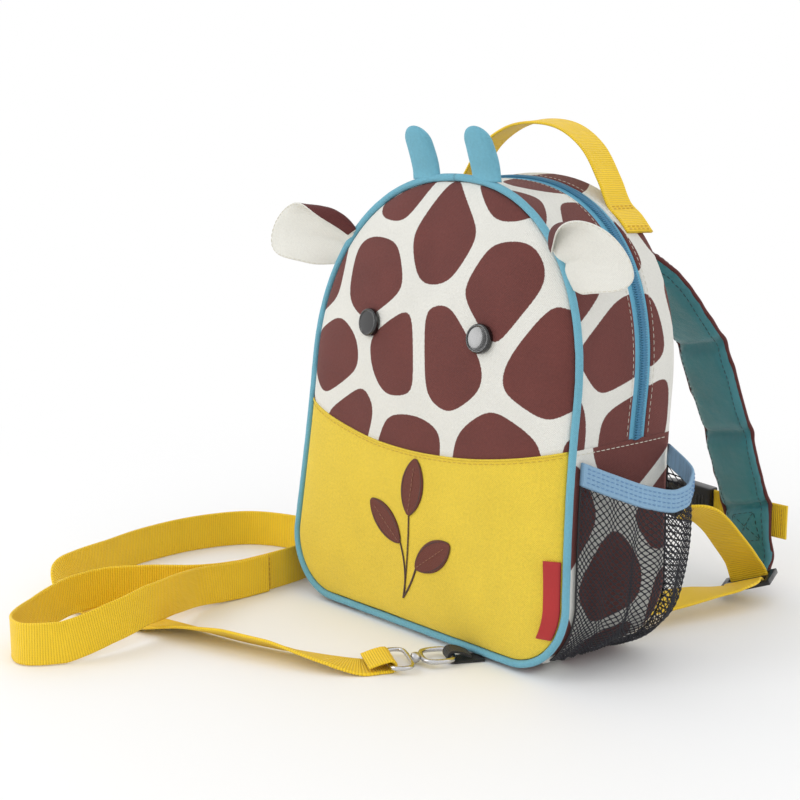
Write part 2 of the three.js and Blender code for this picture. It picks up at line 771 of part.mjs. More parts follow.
// The same face carried on round the back corner; turn runs from 0 to 1 through the rounding
function backCornerPoint(distance, turn) {
  const rim = outlineAt(distance, 0);
  const whole = backEdge(rim.s) - frontEdge(rim.s);
  const start = gussetPoint(distance, whole - BACK_ROUND);
  const centre = outlineAt(distance, GUSSET_INSET + BACK_ROUND);
  const angle = turn * Math.PI / 2;
  const hub = new THREE.Vector3(centre.x, start.y, heightOf(Math.max(centre.s, BACK_ROUND - FRONT_LIFT)));
  return new THREE.Vector3(
    THREE.MathUtils.lerp(hub.x, start.x, Math.cos(angle)),
    start.y + BACK_ROUND * Math.sin(angle),
    THREE.MathUtils.lerp(hub.z, start.z, Math.cos(angle)),
  );
}

// A strip of the bag's side that ends at the back seam
function rearFace(from, to, startDepth, flatSteps) {
  const steps = flatSteps + CORNER_STEPS;
  return (along, across) => {
    const distance = THREE.MathUtils.lerp(from, to, along);
    const rim = outlineAt(distance, 0);
    const flatEnd = backEdge(rim.s) - frontEdge(rim.s) - BACK_ROUND;
    const step = across * steps;
    if (step <= flatSteps) {
      return gussetPoint(distance, THREE.MathUtils.lerp(startDepth, flatEnd, step / flatSteps));
    }
    return backCornerPoint(distance, (step - flatSteps) / CORNER_STEPS);
  };
}

const SEAM_DISTANCE = distanceAtHeight(GUSSET_SEAM);
const SEAM_GAP = GAP / 2;
const ARCH_START = SEAM_DISTANCE + SEAM_GAP;
const SIDE_START = PIPING_RADIUS + GAP;
const ZIP_START = FRONT_STRIP + GAP;
const REAR_START = ZIP_START + ZIP_WIDTH + GAP;

// The arch runs over the top, so its distances pass from the right half to the left half
const overTop = (share) => {
  const run = HALF_LENGTH - ARCH_START;
  const along = THREE.MathUtils.lerp(-run, run, share);
  return along < 0 ? HALF_LENGTH + along : -(HALF_LENGTH - along);
};

function buildArch() {
  const strip = (name, across, point, color) => {
    add(name, cloth(ARCH_STEPS, across, point, WALL), color);
  };
  strip('gusset_front_strip', 3, (along, across) => gussetPoint(
    overTop(along),
    THREE.MathUtils.lerp(SIDE_START, FRONT_STRIP, across),
  ), CREAM);
  strip('zip', 3, (along, across) => gussetPoint(
    overTop(along),
    ZIP_START + ZIP_WIDTH * across,
    (across > 0.2 && across < 0.8 ? ZIP_COIL : 0) - ZIP_SINK,
  ), ZIP_BLUE);
  const flatSteps = 1;
  strip('gusset_rear_strip', flatSteps + CORNER_STEPS, (along, across) => {
    const distance = overTop(along);
    return rearFace(distance, distance, REAR_START, flatSteps)(0, across);
  }, CREAM);
}

// Slider of the closed zip, at the foot of the hidden side
function buildSlider() {
  const start = ARCH_START + SLIDER_FOOT;
  const middle = ZIP_START + ZIP_WIDTH / 2;
  const layer = (proud) => grid(3, 2, (along, across) => gussetPoint(
    -(start + SLIDER_LENGTH * along),
    middle + SLIDER_WIDTH * (across - 0.5),
    proud,
  ));
  const seat = ZIP_COIL - ZIP_SINK + GAP;
  add('zip_slider', twoLayers(3, 2, layer(seat + SLIDER_HEIGHT), layer(seat)), STEEL, 0.35, 1);
}

function buildBase() {
  const flatSteps = 3;
  const reach = SEAM_DISTANCE - SEAM_GAP;
  const face = rearFace(reach, -reach, SIDE_START, flatSteps);
  add('base_gusset', cloth(BASE_STEPS, flatSteps + CORNER_STEPS, face, -WALL), CREAM);
}

// Padded back panel, flat against the wearer
function buildBackPanel() {
  const inset = GUSSET_INSET + BACK_ROUND + BACK_SEAM;
  const rows = 10;
  const columns = 10;
  const foot = Math.max(inset, BACK_ROUND - FRONT_LIFT + BACK_SEAM);
  const top = BAG_HEIGHT - inset;
  const face = (proud) => grid(rows, columns, (up, across) => {
    const share = across * 2 - 1;
    const s = THREE.MathUtils.lerp(foot, top, Math.sin(up * Math.PI / 2 * LAST_ROW));
    const edge = (1 - Math.abs(share) ** 6) * (1 - Math.abs(2 * (s - foot) / (top - foot) - 1) ** 6);
    return new THREE.Vector3(
      share * halfWidthAt(s, inset),
      backEdge(s) + proud * edge,
      heightOf(s),
    );
  });
  add('back_panel', twoLayers(rows, columns, face(BACK_CROWN), movedBack(face(0), -BACK_PAD)), CREAM);
}

function buildButtons() {
  const profile = [new THREE.Vector2(0, 0), new THREE.Vector2(BUTTON_RADIUS, 0)];
  for (let i = 1; i <= 5; i += 1) {
    const turn = Math.PI / 2 * i / 5;
    profile.push(new THREE.Vector2(
      i === 5 ? 0 : BUTTON_RADIUS * Math.cos(turn),
      1 + (BUTTON_HEIGHT - 1) * Math.sin(turn),
    ));
  }
  profile.splice(2, 0, new THREE.Vector2(BUTTON_RADIUS, 1));
  for (const [name, side] of [['button_left', -1], ['button_right', 1]]) {
    const dome = weld(new THREE.LatheGeometry(profile, 12));
    const mesh = add(name, dome, BLACK, 0.25);
    const x = side * BUTTON_X;
    const spot = panelPoint(x, BUTTON_Z);
    const across = panelPoint(x + 6, BUTTON_Z).sub(panelPoint(x - 6, BUTTON_Z));
    const up = panelPoint(x, BUTTON_Z + 6).sub(panelPoint(x, BUTTON_Z - 6));
    const outward = across.cross(up).normalize();
    mesh.quaternion.setFromUnitVectors(new THREE.Vector3(0, 1, 0), outward);
    mesh.position.copy(spot).addScaledVector(outward, 2 * GAP);
  }
}

// A thin piece sewn flat on the front panel
function sewnPatch(rows, columns, place, thickness) {
  const back = grid(rows, columns, (i, j) => {
    const spot = place(i, j);
    return panelPoint(spot.x, spot.s, 2 * GAP);
  });
  return twoLayers(rows, columns, movedBack(back, -thickness), back);
}

function buildTag() {
  const place = (up, across) => {
    const s = TAG_FOOT + TAG_HEIGHT * up;
    const edge = halfWidthAt(s, PANEL_INSET) - GAP;
    return { x: edge - TAG_WIDTH * (1 - across), s };
  };
  add('side_tag', sewnPatch(5, 2, place, TAG_THICKNESS), RED, 0.6);
}

function buildLeaves() {
  for (const leaf of LEAVES) {
    const heading = THREE.MathUtils.degToRad(leaf.heading);
    const middle = new THREE.Vector2(leaf.across * BAG_WIDTH / 2, leaf.up * PANEL_SEAM_CENTRE);
    const place = (along, across) => {
      const reach = (along * 2 - 1) * 0.97;
      const half = leaf.width * LEAF_WIDTH * (1 - reach * reach) ** 0.75 + LEAF_TIP;
      const a = reach * leaf.length * LEAF_LENGTH;
      const b = (across * 2 - 1) * half;
      return {
        x: middle.x + a * Math.cos(heading) - b * Math.sin(heading),
        s: middle.y + a * Math.sin(heading) + b * Math.cos(heading),
      };
    };
    add(leaf.name, sewnPatch(8, 2, place, PATCH_THICKNESS), BROWN);
  }
}

function buildHorns() {
  for (const [name, side] of [['horn_left', -1], ['horn_right', 1]]) {
    const x = side * HORN_X;
    const seat = hornSeat(x);
    const stations = HORN_SECTIONS.map((row) => ({
      place: new THREE.Vector3(
        x - HORN_TILT * row.up,
        frontEdge(seat) - HORN_NOD * row.up ** 1.5,
        heightOf(seat) + HORN_HEIGHT * row.up,
      ),
      side: new THREE.Vector3(1, 0, 0),
      normal: new THREE.Vector3(0, 1, 0),
      width: HORN_WIDTH * row.width,
      thickness: HORN_THICKNESS * row.thickness,
    }));
    add(name, sweep(stations, PADDED_SECTION), LIGHT_BLUE);
  }
}

// Highest point of the piping under a horn, so that the horn stands on the seam
function hornSeat(x) {
  let best = 0;
  for (const shift of [-0.5, 0, 0.5]) {
    const place = Math.abs(x + shift * HORN_WIDTH);
    let low = distanceAtHeight(SPRING_LINE);
    let high = HALF_LENGTH;
    for (let i = 0; i < 30; i += 1) {
      const middle = (low + high) / 2;
      if (outlineAt(middle, 0).x > place) {
        low = middle;
      } else {
        high = middle;
      }
    }
    best = Math.max(best, outlineAt(low, 0).s);
  }
  return best + GAP;
}

function buildEars() {
  const rows = 8;
  const columns = 6;
  for (const [name, mirror] of [['ear_left', -1], ['ear_right', 1]]) {
    const face = grid(rows, columns, (along, across) => {
      const half = EAR_HALF_WIDTH * read(EAR_SECTIONS, 'along', 'half', along);
      const curl = read(EAR_SECTIONS, 'along', 'curl', along);
      const side = across * 2 - 1;
      const s = EAR_HEIGHT + side * half - EAR_LENGTH * read(EAR_SECTIONS, 'along', 'drop', along);
      const root = halfWidthAt(s, 0) + 2 * GAP;
      const reach = root * (1 - along) + (halfWidthAt(EAR_HEIGHT, 0) + EAR_LENGTH) * along;
      const forward = EAR_FORWARD * read(EAR_SECTIONS, 'along', 'forward', along);
      return new THREE.Vector3(
        mirror * reach,
        frontEdge(EAR_HEIGHT) - forward - curl * half * Math.abs(side) ** 2.2,
        heightOf(s),
      );
    });
    add(name, twoLayers(rows, columns, face, movedBack(face, EAR_THICKNESS)), CREAM);
  }
}

// Copy of a direction or place for the left side of the bag, where mirror is -1
function mirrored(vector, mirror) {
  return vector.clone().setX(vector.x * mirror);
}

// Carrying handle: its ends lie flat on the rear strip and it stands up between them
function buildHandle() {
  const seat = distanceOnArch(HANDLE_HALF_SPAN);
  const depth = REAR_START + HANDLE_WIDTH / 2 + HANDLE_MARGIN;
  const proud = GAP * 3 + WEBBING_THICKNESS / 2;
  const sewn = [HANDLE_PATCH, HANDLE_PATCH / 2, 0].map((down) => gussetPoint(seat - down, depth, proud));
  const leave = sewn[2];
  const top = heightOf(BAG_HEIGHT) + HANDLE_RISE;
  const raised = HANDLE_ROUTE.map((row) => new THREE.Vector3(
    leave.x * row.out,
    leave.y + HANDLE_WIDTH * row.back,
    THREE.MathUtils.lerp(leave.z, top, row.up),
  ));
  const points = [...sewn, ...raised];
  const left = points.slice(0, -1).map((point) => mirrored(point, -1)).reverse();
  const route = [...points, ...left];
  const leaned = () => new THREE.Vector3(0, Math.cos(HANDLE_LEAN), Math.sin(HANDLE_LEAN));
  const stations = stationsAlong(route, HANDLE_STEPS, leaned, HANDLE_WIDTH, WEBBING_THICKNESS);
  add('carry_handle', sweep(stations, FLAT_SECTION), WEBBING_YELLOW, 0.8);
}

function distanceOnArch(x) {
  let low = SEAM_DISTANCE;
  let high = HALF_LENGTH;
  for (let i = 0; i < 40; i += 1) {
    const middle = (low + high) / 2;
    if (outlineAt(middle, 0).x > x) {
      low = middle;
    } else {
      high = middle;
    }
  }
  return low;
}

// Outer face of a side pocket: across from the front seam to the back seam, and up to its mouth
function pocketPoint(mirror, across, up, raise = 0, proud = 0) {
  const front = SIDE_START + POCKET_SEAM;
  const foot = distanceAtHeight(POCKET_FOOT);
  const droop = POCKET_DROOP * read(POCKET_ACROSS, 'share', 'droop', across);
  const mouth = distanceAtHeight(POCKET_TOP - droop) + raise;
  const distance = THREE.MathUtils.lerp(foot, mouth, up);
  const rim = outlineAt(distance, 0);
  const back = backEdge(rim.s) - frontEdge(rim.s) - BACK_ROUND;
  const depth = THREE.MathUtils.lerp(front, back, across);
  const bulge = read(POCKET_ACROSS, 'share', 'bulge', across) * read(POCKET_UP, 'share', 'bulge', up);
  const wave = Math.cos(2 * Math.PI * GATHER_COUNT * across);
  const gather = GATHER_DEPTH * Math.sin(Math.PI * across) * wave * (1 - up);
  const base = NET_THICKNESS + 3 * GAP;
  const point = gussetPoint(distance, depth, base + POCKET_BULGE * bulge + gather * bulge + proud);
  point.x *= mirror;
  return point;
}

// Net with a diamond opening in each cell
function piercedNet(rows, columns, point, thickness) {
  const fine = grid(rows * 2, columns * 2, point);
  const inner = offsetGrid(fine, thickness);
  const points = [];
  const triangles = [];
  const corner = [0, 1].map(() => []);
  [fine, inner].forEach((layer, side) => {
    for (let i = 0; i <= rows; i += 1) {
      corner[side].push([]);
      for (let j = 0; j <= columns; j += 1) {
        corner[side][i].push(points.length);
        points.push(layer[i * 2][j * 2].clone());
      }
    }
  });
  for (let i = 0; i < rows; i += 1) {
    for (let j = 0; j < columns; j += 1) {
      const hole = [fine, inner].map((layer) => {
        const middle = layer[i * 2 + 1][j * 2 + 1];
        return [[0, 1], [1, 2], [2, 1], [1, 0]].map(([di, dj]) => {
          points.push(middle.clone().lerp(layer[i * 2 + di][j * 2 + dj], NET_HOLE));
          return points.length - 1;
        });
      });
      const ring = [0, 1].map((side) => [
        corner[side][i][j], corner[side][i][j + 1], corner[side][i + 1][j + 1], corner[side][i + 1][j],
      ]);
      for (let k = 0; k < 4; k += 1) {
        const next = (k + 1) % 4;
        triangles.push(ring[0][k], ring[0][next], hole[0][k]);
        triangles.push(ring[0][next], hole[0][next], hole[0][k]);
        triangles.push(ring[1][next], ring[1][k], hole[1][k]);
        triangles.push(hole[1][next], ring[1][next], hole[1][k]);
        quad(triangles, hole[0][k], hole[0][next], hole[1][next], hole[1][k]);
      }
    }
  }
  const cornerAt = (side, spot) => corner[side][spot[0]][spot[1]];
  const wall = (a, b) => {
    quad(triangles, cornerAt(0, b), cornerAt(0, a), cornerAt(1, a), cornerAt(1, b));
  };
  for (let j = 0; j < columns; j += 1) {
    wall([0, j], [0, j + 1]);
    wall([rows, j + 1], [rows, j]);
  }
  for (let i = 0; i < rows; i += 1) {
    wall([i + 1, 0], [i, 0]);
    wall([i, columns], [i + 1, columns]);
  }
  return closedBody(points, triangles);
}

function buildPockets() {
  for (const [side, mirror] of SIDES) {
    const net = (up, across) => pocketPoint(mirror, across, up, -BINDING_HEIGHT - 4 * GAP);
    add(`pocket_net_${side}`, piercedNet(NET_ROWS, NET_COLUMNS, net, NET_THICKNESS * mirror), BLACK);
    const rows = 1;
    const columns = 2 * NET_COLUMNS;
    const outer = grid(rows, columns, (up, across) => (
      pocketPoint(mirror, across, 1, -BINDING_HEIGHT * (1 - up), BINDING_THICKNESS - NET_THICKNESS)
    ));
    const inner = offsetGrid(outer, BINDING_THICKNESS * mirror);
    add(`pocket_binding_${side}`, twoLayers(rows, columns, outer, inner), BINDING_BLUE, 0.7);
  }
}

// Directions of the right ladder lock: across its width, along its length and off its face
const LOCK_ACROSS = new THREE.Vector3(
  Math.cos(LOCK_YAW) * Math.cos(LOCK_ROLL),
  Math.sin(LOCK_YAW) * Math.cos(LOCK_ROLL),
  Math.sin(LOCK_ROLL),
);
const LOCK_ALONG = new THREE.Vector3(
  -Math.sin(LOCK_YAW) * Math.cos(LOCK_PITCH),
  Math.cos(LOCK_YAW) * Math.cos(LOCK_PITCH),
  Math.sin(LOCK_PITCH),
);
LOCK_ALONG.addScaledVector(LOCK_ACROSS, -LOCK_ALONG.dot(LOCK_ACROSS)).normalize();
const LOCK_OFF = new THREE.Vector3().crossVectors(LOCK_ACROSS, LOCK_ALONG);

// The strap holds the lock's lowest corner a little above the floor
const LOCK_MIDDLE = new THREE.Vector3(
  LOCK_SPREAD,
  BAG_DEPTH / 2 + LOCK_SET_BACK,
  (LOCK_ACROSS.z * LOCK_WIDTH + Math.abs(LOCK_ALONG.z) * LOCK_LENGTH + LOCK_THICKNESS) / 2 + LOCK_LIFT,
);

function lockPlace(along, off) {
  return LOCK_MIDDLE.clone().addScaledVector(LOCK_ALONG, along).addScaledVector(LOCK_OFF, off);
}

function strapStations(mirror) {
  const start = backEdge(BAG_HEIGHT * STRAP_ROUTE[0].up) + STRAP_THICKNESS / 2 + 4 * GAP;
  const route = STRAP_ROUTE.map((row) => new THREE.Vector3(
    row.spread * STRAP_SPREAD,
    start + row.reach * STRAP_REACH,
    row.up * BAG_HEIGHT,
  ));
  const tip = LOCK_LENGTH / 2 + 3 * GAP;
  route.push(lockPlace(tip + STRAP_THICKNESS, STRAP_THICKNESS / 4));
  route.push(lockPlace(tip, 0));
  const rows = [...STRAP_ROUTE, ...STRAP_TIP];
  const width = (share) => STRAP_WIDTH * tableAt(rows, 'width', share);
  const outward = new THREE.Vector3(1, 0, 0);
  const side = (share) => mirrored(
    outward.clone().lerp(LOCK_ACROSS, THREE.MathUtils.smoothstep(share, STRAP_TURN, 1)),
    mirror,
  );
  const points = route.map((point) => mirrored(point, mirror));
  const stations = stationsAlong(points, STRAP_STEPS, side, width, STRAP_THICKNESS);
  for (const station of stations) {
    const fold = tableAt(rows, 'fold', station.share) ** 2;
    station.place.addScaledVector(station.normal, -mirror * FOLD_DEPTH * fold);
    const tip = THREE.MathUtils.smoothstep(station.share, STRAP_THINS, 1);
    station.thickness *= (1 - FOLD_THINNING * fold) * (1 - TIP_THINNING * tip);
  }
  return stations;
}

function buildStraps() {
  for (const [side, mirror] of SIDES) {
    add(`shoulder_strap_${side}`, sweep(strapStations(mirror), PADDED_SECTION), TEAL, 0.55);
  }
}

// Ladder lock: a flat frame with two slots, one each side of its middle bar
function ladderLock(mirror) {
  const shape = new THREE.Shape();
  const halfWidth = LOCK_WIDTH / 2;
  const halfLength = LOCK_LENGTH / 2;
  shape.moveTo(-halfWidth, -halfLength);
  shape.lineTo(halfWidth, -halfLength);
  shape.lineTo(halfWidth, halfLength);
  shape.lineTo(-halfWidth, halfLength);
  const slotHalf = WEBBING_WIDTH / 2 + 2 * GAP;
  const slotLength = (LOCK_LENGTH - 3 * LOCK_BAR) / 2;
  for (const start of [-halfLength + LOCK_BAR, LOCK_BAR / 2]) {
    const slot = new THREE.Path();
    slot.moveTo(-slotHalf, start);
    slot.lineTo(-slotHalf, start + slotLength);
    slot.lineTo(slotHalf, start + slotLength);
    slot.lineTo(slotHalf, start);
    shape.holes.push(slot);
  }
  const frame = new THREE.ExtrudeGeometry(shape, { depth: LOCK_THICKNESS, bevelEnabled: false });
  frame.translate(0, 0, -LOCK_THICKNESS / 2);
  const turn = new THREE.Matrix4().makeBasis(LOCK_ACROSS, LOCK_ALONG, LOCK_OFF);
  frame.applyMatrix4(turn.setPosition(LOCK_MIDDLE));
  frame.scale(mirror, 1, 1);
  return weld(frame);
}

// One webbing runs from the foot of the back through the lock, and ends as a free tail above it
function lowerWebbing(mirror) {
  const seat = LOCK_THICKNESS / 2 + WEBBING_THICKNESS / 2 + GAP;
  const threading = LOCK_THREADING.map((row) => lockPlace(row.along * LOCK_LENGTH, row.off * seat));
  const foot = new THREE.Vector3(LOWER_WEBBING_X, BAG_DEPTH / 2 + BACK_PAD, 0);
  const way = threading[0].clone().setZ(0).sub(foot);
  const places = LOWER_WEBBING_ROUTE.map((row) => {
    const place = foot.clone().addScaledVector(way, row.along).setZ(row.up * WEBBING_WIDTH);
    const lift = THREE.MathUtils.degToRad(row.lift);
    return { place, side: new THREE.Vector3(Math.cos(lift), 0, Math.sin(lift)) };
  });
  for (const place of threading) {
    places.push({ place, side: LOCK_ACROSS.clone() });
  }
  const top = threading[threading.length - 1];
  const turned = TAIL_SIDE.clone().normalize();
  TAIL_ROUTE.forEach((row, i) => {
    const step = new THREE.Vector3(-row.inward, -row.back, row.up);
    const place = top.clone().addScaledVector(step, TAIL_LENGTH);
    const share = ((i + 1) / TAIL_ROUTE.length) ** TAIL_TURN;
    places.push({ place, side: LOCK_ACROSS.clone().lerp(turned, share).normalize() });
  });
  return ribbon(places, mirror, WEBBING_STEPS, WEBBING_WIDTH, WEBBING_THICKNESS);
}

// Stations of a ribbon through places that each have a side direction of their own
function ribbon(places, mirror, steps, width, thickness) {
  const route = places.map((row) => mirrored(row.place, mirror));
  const side = (share) => {
    const spot = THREE.MathUtils.clamp(share, 0, 1) * (places.length - 1);
    const row = Math.min(Math.floor(spot), places.length - 2);
    return mirrored(places[row].side.clone().lerp(places[row + 1].side, spot - row), mirror);
  };
  return stationsAlong(route, steps, side, width, thickness);
}

function buildLowerStraps() {
  for (const [side, mirror] of SIDES) {
    add(`lower_webbing_${side}`, sweep(lowerWebbing(mirror), FLAT_SECTION), WEBBING_YELLOW, 0.8);
    add(`ladder_lock_${side}`, ladderLock(mirror), BLACK, 0.45);
  }
}

// How far back and out the shoulder strap's surface reaches between the chest webbing's edges
function chestPlace() {
  const low = CHEST_HEIGHT - CHEST_WEBBING_WIDTH / 2;
  const high = CHEST_HEIGHT + CHEST_WEBBING_WIDTH / 2;
  const sections = strapStations(1).map((station) => sectionPoints(station, PADDED_SECTION));
  let back = 0;
  let spread = 0;
  for (let i = 0; i + 1 < sections.length; i += 1) {
    sections[i].forEach((from, j) => {
      const to = sections[i + 1][j];
      for (const level of [low, high, from.z, to.z]) {
        const share = (level - from.z) / (to.z - from.z);
        if (level >= low && level <= high && share >= 0 && share <= 1) {
          back = Math.max(back, THREE.MathUtils.lerp(from.y, to.y, share));
          spread = Math.max(spread, THREE.MathUtils.lerp(from.x, to.x, share));
        }
      }
    });
  }
  return { back: back + GAP + WEBBING_THICKNESS / 2, spread };
}

function buildChestStrap() {
  const chest = chestPlace();
  const run = (from, to) => {
    const points = [0, 0.5, 1].map((share) => new THREE.Vector3(
      THREE.MathUtils.lerp(from, to, share),
      chest.back,
      CHEST_HEIGHT,
    ));
    const upright = () => new THREE.Vector3(0, 0, 1);
    return sweep(stationsAlong(points, 1, upright, CHEST_WEBBING_WIDTH, WEBBING_THICKNESS), FLAT_SECTION);
  };
  const half = BUCKLE_LENGTH / 2 + GAP;
  const end = chest.spread + CHEST_TAB;
  add('chest_webbing_right', run(BUCKLE_X + half, end), WEBBING_YELLOW, 0.8);
  add('chest_webbing_left', run(BUCKLE_X - half, -end), WEBBING_YELLOW, 0.8);
  buildBuckle(chest.back);
}

// Fastened side-release buckle: a socket and a tongued half pushed into its mouth
function buildBuckle(back) {
  const lengths = { socket: SOCKET_LENGTH, plug: BUCKLE_LENGTH - SOCKET_LENGTH, mouth: TONGUE_LENGTH };
  const halves = { chest_buckle_socket: SOCKET_OUTLINE, chest_buckle_plug: PLUG_OUTLINE };
  const cut = {
    depth: BUCKLE_THICKNESS - 2 * BUCKLE_BEVEL,
    bevelEnabled: true,
    bevelSize: BUCKLE_BEVEL,
    bevelThickness: BUCKLE_BEVEL,
    bevelOffset: -BUCKLE_BEVEL,
    bevelSegments: 1,
  };
  for (const [name, table] of Object.entries(halves)) {
    const upper = table.map((row) => new THREE.Vector2(
      row.along * lengths[row.of] - row.gaps * GAP,
      row.out * BUCKLE_HEIGHT / 2,
    ));
    const lower = upper.map((point) => new THREE.Vector2(point.x, -point.y)).reverse();
    const body = new THREE.ExtrudeGeometry(new THREE.Shape([...upper, ...lower]), cut);
    const piece = add(name, weld(body), BLACK, 0.45);
    piece.rotation.x = Math.PI / 2;
    piece.position.set(BUCKLE_X + BUCKLE_LENGTH / 2 - SOCKET_LENGTH, back + cut.depth / 2, CHEST_HEIGHT);
  }
}

// Directions on the floor along the rein hook and across it
const HEADING = new THREE.Vector3(Math.cos(HOOK_YAW), Math.sin(HOOK_YAW), 0);
const ACROSS = new THREE.Vector3(-HEADING.y, HEADING.x, 0);
const HOOK_LEVEL = WEBBING_THICKNESS + HOOK_WIRE + 2 * GAP;
const STEM_START = HOOK_LENGTH + HOOK_WIRE + GAP;
const RING_START = STEM_START + HOOK_STEM + RING_WIRE + 2 * GAP;

function hookPlace(along, across, height) {
  return new THREE.Vector3(HOOK_X, -BAG_DEPTH / 2 - HOOK_AHEAD, height)
    .addScaledVector(HEADING, along)
    .addScaledVector(ACROSS, across);
}

// Level loop of wire with rounded corners; along is where its near bar lies
function wireLoop(along, length, width, wire, height) {
  const points = [];
  const corner = Math.min(length, width) * LOOP_CORNER;
  const corners = [
    { a: corner, b: corner - width / 2, turn: Math.PI },
    { a: length - corner, b: corner - width / 2, turn: Math.PI * 1.5 },
    { a: length - corner, b: width / 2 - corner, turn: 0 },
    { a: corner, b: width / 2 - corner, turn: Math.PI / 2 },
  ];
  for (const row of corners) {
    for (let i = 0; i < 3; i += 1) {
      const turn = row.turn + Math.PI / 4 * i;
      points.push(hookPlace(
        along + row.a + corner * Math.cos(turn),
        row.b + corner * Math.sin(turn),
        height,
      ));
    }
  }
  const curve = new THREE.CatmullRomCurve3(points, true, 'centripetal');
  return weld(new THREE.TubeGeometry(curve, 24, wire, 6, true));
}

function buildHook() {
  add('rein_hook', wireLoop(0, HOOK_LENGTH, HOOK_WIDTH, HOOK_WIRE, HOOK_LEVEL), STEEL, 0.3, 1);
  const stem = new THREE.CylinderGeometry(HOOK_WIRE * 1.5, HOOK_WIRE * 1.7, HOOK_STEM, 10);
  const mesh = add('rein_hook_stem', weld(stem), STEEL, 0.3, 1);
  mesh.quaternion.setFromUnitVectors(new THREE.Vector3(0, 1, 0), HEADING);
  mesh.position.copy(hookPlace(STEM_START + HOOK_STEM / 2, 0, HOOK_LEVEL));
  add('rein_ring', wireLoop(RING_START, RING_LENGTH, RING_WIDTH, RING_WIRE, HOOK_LEVEL), STEEL, 0.3, 1);
}

// Webbing folded round a bar: it comes in low, turns up round the bar and lies back on itself
function foldedRound(bar, low, high, direction, thickness) {
  const radius = bar.wire + thickness / 2 + 2 * GAP;
  const flat = thickness / 2 + FLOOR_GAP;
  const points = [
    hookPlace(bar.along - direction * low, 0, flat),
    hookPlace(bar.along - direction * low * 0.4, 0, flat),
  ];
  for (let i = 0; i <= 6; i += 1) {
    const turn = Math.PI * (i / 6 - 0.5);
    points.push(hookPlace(
      bar.along + direction * radius * Math.cos(turn),
      0,
      HOOK_LEVEL + radius * Math.sin(turn),
    ));
  }
  points.push(hookPlace(bar.along - direction * high * 0.45, 0, HOOK_LEVEL + radius * 0.7));
  points.push(hookPlace(bar.along - direction * high, 0, 3 * flat + 3 * GAP));
  return points;
}

function buildAnchor() {
  const bar = { along: 0, wire: HOOK_WIRE };
  const route = foldedRound(bar, ANCHOR_TUCK, ANCHOR_RETURN, 1, ANCHOR_THICKNESS);
  const stations = stationsAlong(route, WEBBING_STEPS, () => ACROSS.clone(), ANCHOR_WIDTH, ANCHOR_THICKNESS);
  add('anchor_loop', sweep(stations, FLAT_SECTION), BLACK, 0.8);
}

const RING_BAR = { along: RING_START + RING_LENGTH, wire: RING_WIRE };

// Route on the floor from a table of plan places, rolls and lifts
function floorRoute(table) {
  const ring = hookPlace(RING_BAR.along, 0, 0);
  const side = -BASE_WIDTH / 2;
  return table.map((row) => {
    const roll = THREE.MathUtils.degToRad(row.roll);
    const upright = Math.cos(roll) * WEBBING_WIDTH / 2 + Math.sin(roll) * WEBBING_THICKNESS / 2;
    const beside = THREE.MathUtils.lerp(ring.x, side, Math.min(row.left, 1));
    return new THREE.Vector3(
      beside - REIN_REACH * Math.max(row.left - 1, 0),
      ring.y - REIN_AHEAD * row.ahead,
      upright + row.lift * WEBBING_WIDTH + FLOOR_GAP,
    );
  });
}

// Stations set down so that their lowest corner is at the lift of their table's rows
function settled(stations, table, from) {
  for (const station of stations) {
    if (station.share >= from) {
      const share = (station.share - from) / (1 - from);
      const low = Math.abs(station.side.z) * station.width + Math.abs(station.normal.z) * station.thickness;
      station.place.z = low / 2 + tableAt(table, 'lift', share) * WEBBING_WIDTH + FLOOR_GAP;
    }
  }
  return stations;
}

// The rein starts as a fold round the ring, its free end sewn down on itself
function reinStations() {
  const fold = foldedRound(RING_BAR, REIN_FOLD_LOW, REIN_FOLD_HIGH, -1, WEBBING_THICKNESS).reverse();
  const route = [...fold, ...floorRoute(REIN_ROUTE)];
  const landed = (fold.length - 1) / (route.length - 1);
  const turn = rolled([...fold.map(() => ({ roll: 90 })), ...REIN_ROUTE]);
  const side = (share, heading) => (share < landed ? ACROSS.clone() : turn(share, heading));
  const width = (share) => THREE.MathUtils.lerp(
    REIN_FOLD_WIDTH,
    WEBBING_WIDTH,
    THREE.MathUtils.smoothstep(share, landed * 0.8, landed * 1.2),
  );
  const stations = stationsAlong(route, REIN_STEPS, side, width, WEBBING_THICKNESS);
  return settled(stations, [{ lift: 0 }, ...REIN_ROUTE], landed);
}

function buildRein() {
  add('rein_webbing', sweep(reinStations(), FLAT_SECTION), WEBBING_YELLOW, 0.8);
  const loop = stationsAlong(
    floorRoute(HAND_LOOP_ROUTE), LOOP_STEPS, rolled(HAND_LOOP_ROUTE), WEBBING_WIDTH, WEBBING_THICKNESS,
  );
  add('rein_hand_loop', sweep(settled(loop, HAND_LOOP_ROUTE, 0), FLAT_SECTION), WEBBING_YELLOW, 0.8);
}

buildFront();
buildPiping();
buildArch();
buildSlider();
buildBase();
buildBackPanel();
buildButtons();
buildTag();
buildLeaves();
buildHorns();
buildEars();
buildHandle();
buildPockets();
buildStraps();
buildLowerStraps();
buildChestStrap();
buildHook();
buildAnchor();
buildRein();

export default bag;
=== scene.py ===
# A small child's backpack with a walking rein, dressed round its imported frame.
# Lengths are in millimetres until a mesh is made. +Z is up and the bag's front faces -Y.
import math

import bmesh
import bpy
import numpy as np
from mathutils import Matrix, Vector
from mathutils.bvhtree import BVHTree


